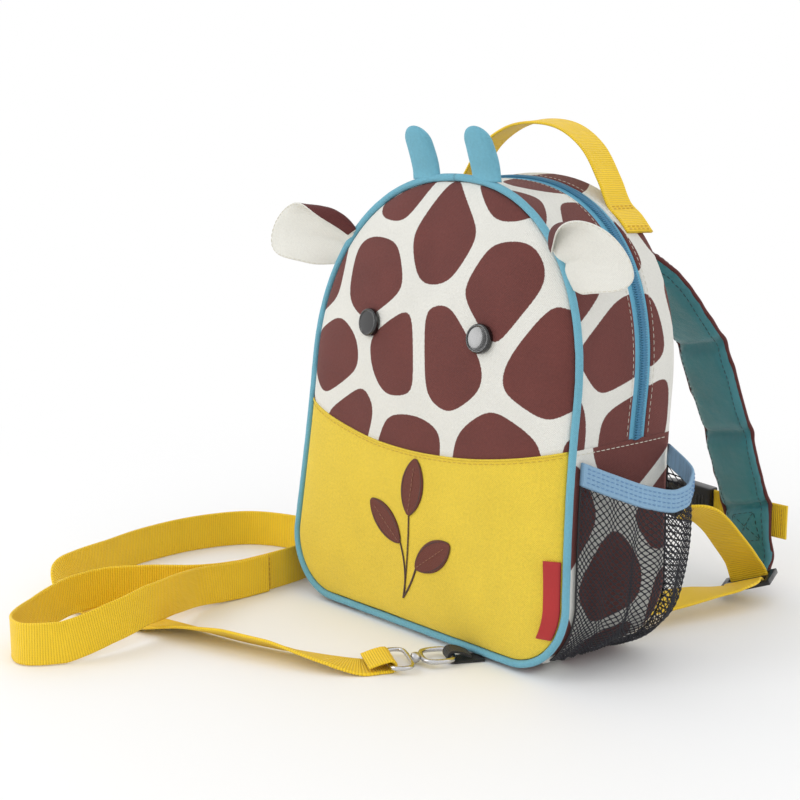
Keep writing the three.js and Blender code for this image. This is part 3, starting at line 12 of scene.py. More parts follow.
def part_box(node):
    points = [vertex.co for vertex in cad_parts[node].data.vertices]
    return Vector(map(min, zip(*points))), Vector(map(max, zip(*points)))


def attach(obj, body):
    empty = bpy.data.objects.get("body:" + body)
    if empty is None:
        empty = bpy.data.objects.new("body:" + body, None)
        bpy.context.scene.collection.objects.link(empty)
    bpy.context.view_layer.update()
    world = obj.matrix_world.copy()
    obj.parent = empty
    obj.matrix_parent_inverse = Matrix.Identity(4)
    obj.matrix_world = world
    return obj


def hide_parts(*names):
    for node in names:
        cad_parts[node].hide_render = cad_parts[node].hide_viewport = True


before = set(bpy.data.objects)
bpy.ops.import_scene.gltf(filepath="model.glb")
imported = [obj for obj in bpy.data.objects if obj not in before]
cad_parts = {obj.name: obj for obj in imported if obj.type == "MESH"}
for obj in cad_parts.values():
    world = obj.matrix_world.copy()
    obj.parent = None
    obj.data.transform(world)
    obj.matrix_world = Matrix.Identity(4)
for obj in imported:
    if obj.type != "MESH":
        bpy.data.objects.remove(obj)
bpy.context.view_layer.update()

MM = 0.001

# Camera, at the photograph's place and lens
CAMERA_PLACE = (523.6, -530.6, 263.7)
CAMERA_AIM = (-24.4, -26.6, 119.8)
LENS = 64.8
SENSOR = 36.0

# Main form of the bag
BAG_WIDTH = 195
BASE_WIDTH = 205
BAG_HEIGHT = 236
BAG_DEPTH = 78
SPRING_LINE = 130
ARCH_POWER = 2.17
BASE_CORNER = 35
LEAN = math.radians(5.1)
TOP_SET_BACK = 7.4
CROWN = 12.5
CROWN_POWER = 2.6
CROWN_ROUND = 0.6
FRONT_LIFT = 2
LIFT_RUN = 14

# Cloth and seams
WALL = 2
GAP = 0.3
PIPING_RADIUS = 1.9
GUSSET_INSET = 3
BELLY_SIZE = 3
TOP_SAG = 3
PANEL_RIPPLE = 0.35
SIDE_RIPPLE = 0.45
BACK_ROUND = 7
BACK_PAD = 4
BACK_CROWN = 1.5
BACK_TUCK = 2.6
BACK_CORD = 1.8
GUSSET_SEAM = 110
SIDE_CLOTH = 300
BASE_CLOTH = 792
FRONT_STRIP = 38
ZIP_WIDTH = 15
ZIP_SINK = 0.6
COIL_WIDTH = 4.4
ZIP_LAP = 1.8
ZIP_STITCHING = 1.6
SLACK_RUN = 3
COIL_PITCH = 1.25
COIL_RADIUS = 0.5
COIL_LIFT = 0.35
COIL_STAGGER = 0.18
TAPE_THICKNESS = 1.4
TAPE_RISE = 0.7
TAPE_GROOVE = 0.5
PULL_HANG = 9
PULL_TUCK = 2.5
PULL_RADIUS = 2.4
PULL_FLAT = 0.28
PANEL_SEAM_CENTRE = 97
PANEL_SEAM_SIDE = 110
LAST_ROW = 0.965
PANEL_INSET = 2 * PIPING_RADIUS + GAP
SIDE_START = PIPING_RADIUS + GAP
ZIP_START = FRONT_STRIP + GAP
REAR_START = ZIP_START + ZIP_WIDTH + GAP

# Trim on the front
BUTTON_RADIUS = 7.5
BUTTON_X = 40
BUTTON_Z = 158
TAG_WIDTH = 7
TAG_HEIGHT = 38
TAG_FOOT = 20
TAG_THICKNESS = 1
TAG_SEAT = 0.5
TAG_CURL = 0.7
TAG_WAVE = 0.25
PATCH_THICKNESS = 0.8
PATCH_SEAT = 0.15
LEAF_LENGTH = 30
LEAF_WIDTH = 14
LEAF_TIP = 0.15
HORN_WIDTH = 19
HORN_HEIGHT = 24
HORN_THICKNESS = 7
HORN_X = 21.5
HORN_NOD = 6.5
HORN_TILT = 3
HORN_TAPER = 0.12
HORN_CAP = 0.66
HORN_TUCK = 0.14
EAR_LENGTH = 52
EAR_HALF_WIDTH = 19
EAR_FORWARD = 13
EAR_THICKNESS = 3.4
EAR_HEIGHT = 199
EAR_ROOT = 0.62
EAR_TIP = 0.36
EAR_CREASE = 0.5
EAR_TURN = 2.5
EAR_HOLLOW = 0.4
EAR_PLEAT = 2.2
EAR_EDGE = 0.7
EAR_RISE = 0.58
EAR_DROOP = 0.6
EAR_SET = 0.05

# Webbing
WEBBING_WIDTH = 22
WEBBING_THICKNESS = 1.6
HANDLE_WIDTH = 18
HANDLE_RISE = 26
HANDLE_HALF_SPAN = 56
HANDLE_PATCH = 20
HANDLE_MARGIN = 1
HANDLE_ROWS = (1.6, 3.4, HANDLE_PATCH - 3.4, HANDLE_PATCH - 1.6)
HEM_MARGIN = 1.5
HANDLE_LEAN = math.radians(4.6)

# Side pockets
POCKET_TOP = 104
POCKET_FOOT = 7
POCKET_BULGE = 21
POCKET_DROOP = 17
POCKET_SEAM = 4
GATHER_DEPTH = 1.1
GATHER_COUNT = 4
NET_THICKNESS = 1.4
NET_CELLS_ACROSS = 54
NET_CELLS_UP = 60
NET_STRAND = 0.4
NET_FOLD = 1.8
NET_CROWDING = 0.024
NET_SEAM = 0.5
NET_GATHER = 0.7
BINDING_HEIGHT = 10
BINDING_THICKNESS = 2
BINDING_RIPPLE = 0.22
BINDING_ROWS = (0.2, 0.42, 0.64, 0.84)

# Shoulder straps and ladder locks
STRAP_WIDTH = 37
STRAP_THICKNESS = 7
STRAP_BOX_START = 42
STRAP_BOX_END = 24
STRAP_BOX_WIDTH = 16
STRAP_SPREAD = 66
STRAP_REACH = 106
FOLD_DEPTH = 1.6
STRAP_TURN = 0.75
STRAP_THINS = 0.86
FOLD_THINNING = 0.25
TIP_THINNING = 0.4
LOCK_WIDTH = 30
LOCK_LENGTH = 21
LOCK_THICKNESS = 3
LOCK_SPREAD = 85
LOCK_SET_BACK = 99.5
LOCK_LIFT = 2.5
LOCK_YAW = math.radians(20)
LOCK_ROLL = math.radians(20)
LOCK_PITCH = math.radians(4)
LOWER_WEBBING_X = 66
TAIL_LENGTH = 52
TAIL_HEMS = (2.0, 3.6)
TAIL_HEM_HALF = 9.0
TAIL_TURN = 0.35
TAIL_SIDE = (0.78, -0.3, 0.55)

# Chest strap, which follows its nodes' places
CHEST_WEBBING_WIDTH = 20
CHEST_HEMS = (3.0, 19.0)
CHEST_HEM_HALF = 8.0
GRIP_SHARES = {"socket": (0.62, 0.72, 0.82), "plug": (0.1, 0.2, 0.3)}
GRIP_REACH = 7.0
GRIP_RADIUS = 0.7

# Rein, its hook, its ring and the loop that holds it
HOOK_WIRE = 1.5
HOOK_LENGTH = 15
HOOK_STEM = 3.4
HOOK_X = 41
HOOK_AHEAD = 13
HOOK_YAW = math.radians(240.7)
RING_WIRE = 1.3
RING_LENGTH = 11
ANCHOR_WIDTH = 10
ANCHOR_THICKNESS = 1.3
ANCHOR_TUCK = 16
ANCHOR_RETURN = 9
REIN_REACH = 100
REIN_AHEAD = 131
REIN_FOLD_WIDTH = 20
REIN_FOLD_LOW = 13
REIN_FOLD_HIGH = 11
FLOOR_GAP = 0.15
REIN_BOX_START = 19
REIN_BOX_END = 1.5
REIN_BOX_HALF = 9.0
RING_BOX = (2.0, 9.0)
RING_BOX_HALF = 8.0

# Sewing thread
STITCH_LENGTH = 2.5
STITCH_SPACE = 0.9
THREAD_RADIUS = 0.22
ZIP_STITCH = {"length": 2.2, "space": 1.1, "radius": 0.16}
EAR_STITCH = {"length": 2.2, "space": 0.9}
VEIN_STITCH = {"length": 2.0, "space": 0.5, "radius": 0.26}
BINDING_STITCH = {"length": 1.8, "space": 0.7, "radius": 0.2}
RIBBON_STITCH_LENGTH = 2.0
HEM_SPACE = 0.5
LEAF_THREAD_RADIUS = 0.3
STEM_THREAD_RADIUS = 0.34

SIDES = (("left", -1), ("right", 1))
RIGHTWARD = (1.0, 0.0, 0.0)
FORWARD = (0.0, -1.0, 0.0)
BACKWARD = (0.0, 1.0, 0.0)
UPWARD = (0.0, 0.0, 1.0)


def table(columns, *rows):
    """Named columns as arrays."""
    names = columns.split()
    return {name: np.array([row[i] for row in rows], float) for i, name in enumerate(names)}


BELLY = table(
    "share belly",
    (0.0, 0.0),
    (0.2, 0.3),
    (0.5, 0.75),
    (0.8, 1.0),
    (1.0, 0.85),
)

DENTS = table(
    "across up size depth",
    (-0.62, 0.5, 0.13, 0.128),
    (0.66, 0.6, 0.154, 0.112),
    (0.1, 0.86, 0.123, 0.104),
    (-0.3, 0.14, 0.144, 0.096),
)

POCKET_ACROSS = table(
    "share bulge droop",
    (0.0, 0.0, 0.0),
    (0.25, 0.36, 0.45),
    (0.5, 0.7, 0.85),
    (0.72, 0.98, 1.0),
    (0.86, 0.97, 0.78),
    (0.95, 0.68, 0.4),
    RIGHTWARD,
)
POCKET_UP = table(
    "share bulge",
    (0.0, 0.0),
    (0.12, 0.24),
    (0.35, 0.7),
    (0.7, 1.0),
    (1.0, 1.0),
)

HORN_SECTIONS = table(
    "up thickness",
    (0.0, 0.6),
    (0.3, 0.95),
    (0.55, 1.0),
    (1.0, 0.85),
)

HANDLE_ROUTE = table(
    "out up back",
    (0.86, 0.3, 0.06),
    (0.65, 0.68, 0.11),
    (0.34, 0.93, 0.17),
    (0.0, 1.0, 0.17),
)

STRAP_ROUTE = table(
    "spread reach up width fold",
    (0.66, 0.0, 0.835, 0.9, 0),
    (0.665, 0.1, 0.825, 0.97, 0),
    (0.79, 0.235, 0.778, 1, 0),
    (0.885, 0.37, 0.703, 1, 0),
    (0.93, 0.525, 0.612, 1, 1),
    (0.95, 0.66, 0.5, 1, 0),
    (0.965, 0.775, 0.388, 1, 1),
    (0.98, 0.885, 0.276, 0.98, 0),
    (1.01, 0.935, 0.198, 0.93, 0.8),
    (1.08, 0.94, 0.128, 0.76, 0),
    (1.13, 0.935, 0.086, 0.62, 0),
)
STRAP_TIP_WIDTHS = (0.56, 0.54)

LOWER_WEBBING_ROUTE = table(
    "along up lift",
    (0.0, 0.6, -8),
    (0.16, 0.5, -12),
    (0.42, 0.5, -8),
    (0.7, 0.52, 2),
    (0.9, 0.5, 12),
)

LOCK_THREADING = table(
    "along off",
    (-0.72, 1.15),
    (-0.5, 1.05),
    (-0.37, 1.05),
    (-0.3, 0.75),
    (-0.2145, 0.0),
    (-0.13, -0.75),
    (-0.06, -1.05),
    (0.06, -1.05),
    (0.15, -0.8),
    (0.21, 0.0),
    (0.22, 1.6),
)

TAIL_ROUTE = table(
    "back up inward",
    (0.06, 0.14, 0.04),
    (0.24, 0.38, 0.1),
    (0.42, 0.6, 0.17),
    (0.58, 0.72, 0.23),
    (0.74, 0.74, 0.34),
)

REIN_ROUTE = table(
    "left ahead roll lift",
    (0.135, 0.154, 78, 0.02),
    (0.35, 0.245, 60, 0.02),
    (0.57, 0.314, 58, 0.02),
    (0.79, 0.367, 70, 0.02),
    (1.015, 0.413, 88, 0),
    (1.295, 0.459, 89, 0),
    (1.555, 0.497, 82, 0.02),
    (1.735, 0.482, 36, 0.05),
    (1.825, 0.39, 8, 0.02),
    (1.915, 0.191, 0, 0),
    (1.995, -0.053, 0, 0),
    (1.995, -0.343, 0, 0),
    (1.875, -0.572, 0, 0),
    (1.645, -0.679, 0, 0),
    (1.395, -0.71, 0, 0),
    (1.195, -0.618, 0, 0),
    (1.095, -0.45, 0, 0),
    (1.065, -0.252, 0, 0),
    (1.065, -0.084, 0, 0),
)
HAND_LOOP_ROUTE = table(
    "left ahead roll lift",
    (1.067, -0.078, 0, 0),
    (1.082, 0.023, 0, 0.03),
    (1.118, 0.13, 0, 0.08),
    (1.245, 0.282, 0, 0.14),
    (1.355, 0.45, 0, 0.17),
    (1.365, 0.618, 0, 0.14),
    (1.255, 0.832, 0, 0.01),
    (1.095, 0.985, 0, 0.01),
    (0.965, 1.0, 0, 0.01),
    (0.87, 0.878, 0, 0.01),
    (0.845, 0.695, 0, 0.22),
    (0.87, 0.511, 0, 0.36),
    (0.94, 0.328, 0, 0.3),
    (1.025, 0.16, 0, 0.14),
    (1.048, 0.023, 0, 0.03),
    (1.044, -0.076, 0, 0),
    (1.043, -0.15, 0, 0),
    (1.043, -0.215, 0, 0),
)

LEAVES = (
    {"name": "top", "across": 0.03, "up": 0.81, "heading": 84, "length": 0.5, "width": 0.53},
    {"name": "left", "across": -0.17, "up": 0.59, "heading": 142, "length": 0.5, "width": 0.5},
    {"name": "right", "across": 0.2, "up": 0.47, "heading": 36, "length": 0.5, "width": 0.5},
)


# Arithmetic on arrays


def lerp(low, high, share):
    return low + (high - low) * share


def smoothstep(value, low, high):
    share = np.clip((value - low) / (high - low), 0, 1)
    return share * share * (3 - 2 * share)


def unit(vectors):
    return vectors / np.maximum(np.linalg.norm(vectors, axis=-1, keepdims=True), 1e-9)


def stack(x, y, z):
    return np.stack(np.broadcast_arrays(x, y, z), axis=-1).astype(float)


def full_turn(count):
    return np.linspace(0, 2 * math.pi, count, endpoint=False)


def lengths_along(line):
    """Distance from a line's start, at each of its points."""
    return np.concatenate([[0], np.cumsum(np.linalg.norm(np.diff(line, axis=0), axis=1))])


def read_line(spots, reach, columns):
    """Rows read off a line at some distances along it."""
    return np.stack([np.interp(spots, reach, columns[:, k]) for k in range(columns.shape[1])], -1)


def read(rows, key, column, value):
    """A value read from a table, on a smooth curve through its rows."""
    keys = rows[key]
    values = rows[column]
    slopes = np.gradient(values, keys)
    row = np.clip(np.searchsorted(keys, value, side="right") - 1, 0, len(keys) - 2)
    step = keys[row + 1] - keys[row]
    share = np.clip((value - keys[row]) / step, 0, 1)
    eased = share * share * (3 - 2 * share)
    leaving = slopes[row] * step * share * (1 - share) ** 2
    arriving = slopes[row + 1] * step * share * share * (1 - share)
    return lerp(values[row], values[row + 1], eased) + leaving - arriving


def at_share(column, share):
    """A value along a column whose rows are evenly spaced from 0 to 1."""
    spots = np.linspace(0, 1, len(column))
    if column.ndim == 1:
        return np.interp(share, spots, column)
    return read_line(share, spots, column)


def soft_noise(x, y, seed=0.0):
    """Smooth waves of mixed directions that never repeat over a piece, from -1 to 1."""
    waves = ((1.0, 0.31, 0.0), (-0.43, 1.07, 1.7), (0.71, -0.83, 4.1), (1.63, 1.21, 2.6))
    total = 0.0
    for across, up, phase in waves:
        total = total + np.sin(across * x + up * y + phase + seed * (1 + across))
    return total / len(waves)


# Outline of the bag's front


def half_outline():
    flat = BASE_WIDTH / 2 - BASE_CORNER
    corner = np.linspace(0, math.pi / 2, 41)[1:]
    side = np.linspace(0, 1, 41)[1:]
    arch = np.linspace(0, math.pi / 2, 241)[1:]
    arch_x = BAG_WIDTH / 2 * np.abs(np.cos(arch)) ** (2 / ARCH_POWER)
    arch_x[-1] = 0
    x = np.concatenate([
        np.linspace(0, flat, 12),
        flat + BASE_CORNER * np.sin(corner),
        lerp(BASE_WIDTH / 2, BAG_WIDTH / 2, np.sin(math.pi / 2 * side)),
        arch_x,
    ])
    s = np.concatenate([
        np.zeros(12),
        BASE_CORNER * (1 - np.cos(corner)),
        lerp(BASE_CORNER, SPRING_LINE, side),
        SPRING_LINE + (BAG_HEIGHT - SPRING_LINE) * np.sin(arch) ** (2 / ARCH_POWER),
    ])
    return x, s


OUTLINE_X, OUTLINE_S = half_outline()
OUTLINE_LENGTHS = np.concatenate([[0], np.cumsum(np.hypot(np.diff(OUTLINE_X), np.diff(OUTLINE_S)))])
HALF_LENGTH = OUTLINE_LENGTHS[-1]
FLAT_END = BASE_WIDTH / 2 - BASE_CORNER
HEADING_X = np.gradient(OUTLINE_X, OUTLINE_LENGTHS)
HEADING_S = np.gradient(OUTLINE_S, OUTLINE_LENGTHS)
HEADING_X[[0, -1]] = (1, -1)
HEADING_S[[0, -1]] = 0


def outline_at(distance, inset=0.0):
    """Place on the outline moved inward, with how far it faces down and up.
    Positive distances run up the right side from the base, negative ones up the left."""
    reach = np.minimum(np.abs(distance), HALF_LENGTH)
    out_x = np.interp(reach, OUTLINE_LENGTHS, HEADING_S)
    out_s = -np.interp(reach, OUTLINE_LENGTHS, HEADING_X)
    size = np.maximum(np.hypot(out_x, out_s), 1e-9)
    x = np.interp(reach, OUTLINE_LENGTHS, OUTLINE_X) - inset * out_x / size
    s = np.interp(reach, OUTLINE_LENGTHS, OUTLINE_S) - inset * out_s / size
    return np.where(distance < 0, -x, x), s, np.maximum(-out_s, 0), np.maximum(out_s, 0)


def distance_at_height(height):
    rising = OUTLINE_LENGTHS >= FLAT_END
    return np.interp(height, OUTLINE_S[rising], OUTLINE_LENGTHS[rising])


def half_width_at(height, inset):
    distances = np.linspace(FLAT_END, HALF_LENGTH, 1600)
    x, s, _, _ = outline_at(distances, inset)
    return np.interp(height, np.maximum.accumulate(s), x)


def front_edge(s):
    return -BAG_DEPTH / 2 + TOP_SET_BACK * (s / BAG_HEIGHT) ** 2 + s * math.tan(LEAN)


def back_edge(s):
    return BAG_DEPTH / 2 + s * math.tan(LEAN)


def height_of(s):
    """Height over the floor of a place on the outline."""
    return s + FRONT_LIFT


def panel_depth(x, s):
    across = np.clip(np.abs(x) / (half_width_at(s, PANEL_INSET) + 0.01), 0, 1)
    middle = BAG_HEIGHT / 2
    up = np.clip(np.abs(s - middle) / (middle - PANEL_INSET), 0, 1)
    crown = CROWN * ((1 - across**CROWN_POWER) * (1 - up**CROWN_POWER)) ** CROWN_ROUND
    for row in range(len(DENTS["size"])):
        away_x = x - DENTS["across"][row] * BAG_WIDTH / 2
        away_s = s - DENTS["up"][row] * BAG_HEIGHT
        reach = np.hypot(away_x, away_s) / (DENTS["size"][row] * BAG_WIDTH)
        crown = crown - DENTS["depth"][row] * CROWN * np.exp(-reach * reach) * (1 - across**4)
    ripple = PANEL_RIPPLE * soft_noise(x / 9, s / 11) * (1 - across**6)
    return front_edge(s) - crown - ripple


def panel_point(x, s, proud=0.0):
    return stack(x, panel_depth(x, s) - proud, height_of(s))


def panel_seam(share):
    return lerp(PANEL_SEAM_CENTRE, PANEL_SEAM_SIDE, share * share)


def gusset_point(distance, depth, proud=0.0):
    """Outer face of the bag's side, a distance along the outline and a depth behind the front."""
    _, rim_s, down, up = outline_at(distance)
    whole = back_edge(rim_s) - front_edge(rim_s)
    share = np.clip(depth / whole, 0, 1)
    inset = GUSSET_INSET - BELLY_SIZE * read(BELLY, "share", "belly", share)
    inset = inset + TOP_SAG * up**4 * np.sin(math.pi * share)
    lowered = smoothstep(depth, LIFT_RUN / 2, LIFT_RUN)
    inset = lerp(inset, -FRONT_LIFT * lowered, down**3)
    x, s, _, _ = outline_at(distance, inset - proud)
    return stack(x, front_edge(rim_s) + depth, height_of(s))


def back_corner_point(distance, turn):
    _, rim_s, _, _ = outline_at(distance)
    whole = back_edge(rim_s) - front_edge(rim_s)
    start = gusset_point(distance, whole - BACK_ROUND)
    hub_x, hub_s, _, _ = outline_at(distance, GUSSET_INSET + BACK_ROUND)
    hub_z = height_of(np.maximum(hub_s, BACK_ROUND - FRONT_LIFT))
    angle = turn * math.pi / 2
    return stack(
        lerp(hub_x, start[..., 0], np.cos(angle)),
        start[..., 1] + BACK_ROUND * np.sin(angle),
        lerp(hub_z, start[..., 2], np.cos(angle)),
    )


def pocket_point(mirror, across, up, above=0.0, proud=0.0):
    """Outer face of a side pocket, from its front seam to its back seam and up to its mouth."""
    front = SIDE_START + POCKET_SEAM
    foot = distance_at_height(POCKET_FOOT)
    droop = POCKET_DROOP * read(POCKET_ACROSS, "share", "droop", across)
    mouth = distance_at_height(POCKET_TOP - droop) + above
    distance = lerp(foot, mouth, up)
    _, rim_s, _, _ = outline_at(distance)
    back = back_edge(rim_s) - front_edge(rim_s) - BACK_ROUND
    bulge = read(POCKET_ACROSS, "share", "bulge", across) * read(POCKET_UP, "share", "bulge", up)
    wave = np.cos(2 * math.pi * GATHER_COUNT * across)
    gather = GATHER_DEPTH * np.sin(math.pi * across) * wave * (1 - up)
    base = NET_THICKNESS + 3 * GAP
    reach = base + POCKET_BULGE * bulge + gather * bulge + proud
    point = gusset_point(distance, lerp(front, back, across), reach)
    point[..., 0] *= mirror
    return point


# Bodies: each is a list of points, faces and cloth coordinates


def ring_quads(rings, sides):
    """Quads between rings of points, and the caps that close the first and the last ring."""
    index = np.arange(rings * sides).reshape(rings, sides)
    turned = np.roll(index, -1, axis=1)
    quads = np.stack([index[:-1], turned[:-1], turned[1:], index[1:]], -1).reshape(-1, 4)
    return quads, index[0, ::-1], index[-1]


def grid_normals(points):
    along = np.gradient(points, axis=0)
    across = np.gradient(points, axis=1)
    return unit(np.cross(along, across))


def sheet_body(outer, inner, cloth):
    """Cloth between two grids, with a rounded rim. Faces come as front, rim and back."""
    rows, columns = outer.shape[:2]
    index = np.arange(rows * columns).reshape(rows, columns)
    quads = np.stack([index[:-1, :-1], index[:-1, 1:], index[1:, 1:], index[1:, :-1]], -1)
    quads = quads.reshape(-1, 4)
    ring = np.concatenate([index[0, :-1], index[:-1, -1], index[-1, :0:-1], index[:0:-1, 0]])
    edge = np.zeros_like(outer)
    along = unit(np.gradient(outer, axis=0))
    across = unit(np.gradient(outer, axis=1))
    edge[0] -= along[0]
    edge[-1] += along[-1]
    edge[:, 0] -= across[:, 0]
    edge[:, -1] += across[:, -1]
    thickness = np.linalg.norm(outer - inner, axis=-1, keepdims=True)
    middle = (outer + inner) / 2 + unit(edge) * thickness * 0.35
    size = rows * columns
    rim = 2 * size + np.arange(len(ring))
    after = np.roll(np.arange(len(ring)), -1)
    front_rim = np.stack([ring[after], ring, rim, rim[after]], -1)
    back_rim = np.stack([rim[after], rim, ring + size, ring[after] + size], -1)
    back = quads[:, ::-1] + size
    points = np.concatenate([outer.reshape(-1, 3), inner.reshape(-1, 3), middle.reshape(-1, 3)[ring]])
    flat = cloth.reshape(-1, 3)
    coordinates = np.concatenate([flat, flat, flat[ring]])
    faces = np.concatenate([quads, front_rim, back_rim, back])
    backs = len(quads) + len(front_rim) + len(back_rim)
    return points, faces, coordinates, backs


def smooth_route(route, per_stretch):
    """Centripetal curve through the points of a route, evenly shared over its stretches."""
    route = np.asarray(route, float)
    held = np.vstack([2 * route[0] - route[1], route, 2 * route[-1] - route[-2]])
    steps = np.arange(per_stretch)[:, None] / per_stretch
    places = []
    for i in range(len(route) - 1):
        before, start, end, after = held[i : i + 4]
        gaps = [max(math.sqrt(np.linalg.norm(b - a)), 1e-4) for a, b in (
            (before, start), (start, end), (end, after),
        )]
        leave = (start - before) / gaps[0] - (end - before) / (gaps[0] + gaps[1])
        leave = (leave + (end - start) / gaps[1]) * gaps[1]
        arrive = (end - start) / gaps[1] - (after - start) / (gaps[1] + gaps[2])
        arrive = (arrive + (after - end) / gaps[2]) * gaps[1]
        bend = -3 * start + 3 * end - 2 * leave - arrive
        twist = 2 * start - 2 * end + leave + arrive
        places.append(start + leave * steps + bend * steps**2 + twist * steps**3)
    places.append(route[-1:])
    return np.vstack(places)


def calm(values, rounds):
    """Values along a line, evened out with their neighbours."""
    for _ in range(rounds):
        inside = (values[:-2] + 2 * values[1:-1] + values[2:]) / 4
        values = np.concatenate([values[:1], inside, values[-1:]])
    return values


SIDE_CALMING = 4


def always(direction):
    """A ribbon's width direction that is the same all along it."""
    return lambda share, heading: np.tile(direction, (len(share), 1))


def stations_along(route, per_stretch, side_of, width, thickness):
    """Stations of a ribbon: side_of gives its width direction from the share and the heading."""
    place = smooth_route(route, per_stretch)
    share = np.linspace(0, 1, len(place))
    heading = unit(np.gradient(place, axis=0))
    side = calm(unit(side_of(share, heading)), SIDE_CALMING)
    side = unit(side - heading * np.sum(side * heading, axis=1, keepdims=True))
    return {
        "share": share,
        "place": place,
        "heading": heading,
        "side": side,
        "normal": unit(np.cross(heading, side)),
        "width": np.full(len(place), float(width)) if np.isscalar(width) else width(share),
        "thickness": np.full(len(place), float(thickness)),
        "along": lengths_along(place),
    }


def swept_body(stations, section):
    """A section carried along stations, with flat ends."""
    section = np.asarray(section, float)
    across = section[None, :, 0] * stations["width"][:, None]
    off = section[None, :, 1] * stations["thickness"][:, None]
    points = (
        stations["place"][:, None]
        + stations["side"][:, None] * across[..., None]
        + stations["normal"][:, None] * off[..., None]
    )
    quads, first, last = ring_quads(*across.shape)
    faces = quads.tolist() + [first.tolist(), last.tolist()]
    cloth = stack(np.broadcast_to(stations["along"][:, None], across.shape), across, off)
    return points.reshape(-1, 3), faces, cloth.reshape(-1, 3)


def round_section(sides):
    turn = full_turn(sides)
    return np.stack([np.cos(turn), np.sin(turn)], -1) / 2


def rounded_section(flat, count):
    """Padded section: a soft oblong, flat is how far its middle stays level."""
    turn = full_turn(count)
    power = 2 / flat
    x = 0.5 * np.sign(np.cos(turn)) * np.abs(np.cos(turn)) ** power
    y = 0.5 * np.sign(np.sin(turn)) * np.abs(np.sin(turn)) ** power
    return np.stack([x, y], -1)


def webbing_section():
    """Woven edges stand a little thicker than the middle."""
    top = ((-0.5, 0.0), (-0.49, 0.32), (-0.465, 0.5), (-0.43, 0.5), (-0.4, 0.44), (-0.2, 0.43))
    over = list(top) + [(0.0, 0.43)] + [(-x, y) for x, y in reversed(top)]
    under = [(-x, -y) for x, y in over[1:-1]]
    return over + under


def ribbon_point(stations, along, across, off):
    """Place on a ribbon: millimetres along it, across it and off its middle."""
    along = np.asarray(along, float)
    line = stations["along"]
    parts = {
        key: read_line(along, line, stations[key])
        for key in ("place", "side", "normal")
    }
    across = np.broadcast_to(np.asarray(across, float), along.shape)
    off = np.broadcast_to(np.asarray(off, float), along.shape)
    return parts["place"] + parts["side"] * across[..., None] + parts["normal"] * off[..., None]


def strand_axes(starts, ends, normals):
    heading = unit(ends - starts)
    first = unit(normals - heading * np.sum(normals * heading, axis=1, keepdims=True))
    return heading, first, np.cross(heading, first)


def capsules(starts, ends, radius, normals, sides=6, flat=0.8):
    """Short rounded threads from starts to ends, one closed body each."""
    _, first, second = strand_axes(starts, ends, normals)
    rings = ((0.0, 0.35), (0.14, 0.85), (0.5, 1.0), (0.86, 0.85), (1.0, 0.35))
    layers = []
    for share, size in rings:
        middle = lerp(starts, ends, share)
        bow = first * (radius * 0.5 * math.sin(math.pi * share))
        for angle in full_turn(sides):
            reach = first * (math.cos(angle) * flat) + second * math.sin(angle)
            layers.append(middle + bow + reach * radius * size)
    points = np.stack(layers, 1)
    quads, *caps = ring_quads(len(rings), sides)
    offsets = np.arange(len(starts))[:, None, None] * len(rings) * sides
    faces = (quads[None] + offsets).reshape(-1, 4).tolist()
    for cap in caps:
        faces += (cap[None] + offsets[:, 0]).tolist()
    return points.reshape(-1, 3), faces


def joined(bodies):
    """Several bodies of points, faces and cloth coordinates as one."""
    points = []
    faces = []
    cloth = []
    shift = 0
    for body in bodies:
        points.append(body[0])
        faces += [[corner + shift for corner in face] for face in body[1]]
        cloth.append(body[2] if len(body) > 2 else body[0])
        shift += len(body[0])
    return np.concatenate(points), faces, np.concatenate(cloth)


def closed_mesh(name, points, faces):
    """A mesh whose faces all look outward."""
    mesh = bpy.data.meshes.new(name)
    mesh.from_pydata((np.asarray(points) * MM).tolist(), [], [list(face) for face in faces])
    turned = bmesh.new()
    turned.from_mesh(mesh)
    bmesh.ops.recalc_face_normals(turned, faces=turned.faces)
    turned.to_mesh(mesh)
    turned.free()
    return mesh


def placed(name, data):
    """An object in the scene, from a mesh, a camera or a light."""
    made = bpy.data.objects.new(name, data)
    bpy.context.scene.collection.objects.link(made)
    return made


def ridden(made, replaces):
    """Puts a piece on its body and hides the nodes that it stands for."""
    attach(made, "root")
    if replaces:
        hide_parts(*replaces)
    return made


def piece(name, body, material, replaces=(), backs=None):
    """A Blender object from a body. Backs are the material and the first face that it covers."""
    points, faces, cloth = body[:3]
    mesh = closed_mesh(name, points, faces)
    mesh.shade_smooth()
    mesh.materials.append(material)
    if backs:
        mesh.materials.append(backs[0])
        for polygon in mesh.polygons[backs[1] :]:
            polygon.material_index = 1
    write_cloth(mesh, cloth)
    return ridden(placed(name, mesh), replaces)


def write_cloth(mesh, cloth):
    cloth = np.asarray(cloth, np.float32)
    attribute = mesh.attributes.new("cloth", "FLOAT_VECTOR", "POINT")
    attribute.data.foreach_set("vector", cloth.ravel())
    if any(material.name == PRINTED for material in mesh.materials):
        attribute = mesh.attributes.new("print", "FLOAT", "POINT")
        attribute.data.foreach_set("value", print_depth(cloth).astype(np.float32))


# Stitches are gathered by thread colour and made as one piece each

THREADS = {}


def stitch(colour, starts, ends, normals, radius=THREAD_RADIUS):
    THREADS.setdefault(colour, []).append(capsules(starts, ends, radius, normals))


def stitch_line(colour, line, normals, length=STITCH_LENGTH, space=STITCH_SPACE, radius=THREAD_RADIUS):
    """A row of stitches along a line of points that has a normal at each."""
    line = np.asarray(line, float)
    normals = np.broadcast_to(np.asarray(normals, float), line.shape)
    reach = lengths_along(line)
    count = max(int(reach[-1] // (length + space)), 1)
    starts = (np.arange(count) + 0.5) * reach[-1] / count - length / 2
    first, last = (read_line(spots, reach, line) for spots in (starts, starts + length))
    stitch(colour, first, last, read_line(starts, reach, normals), radius)


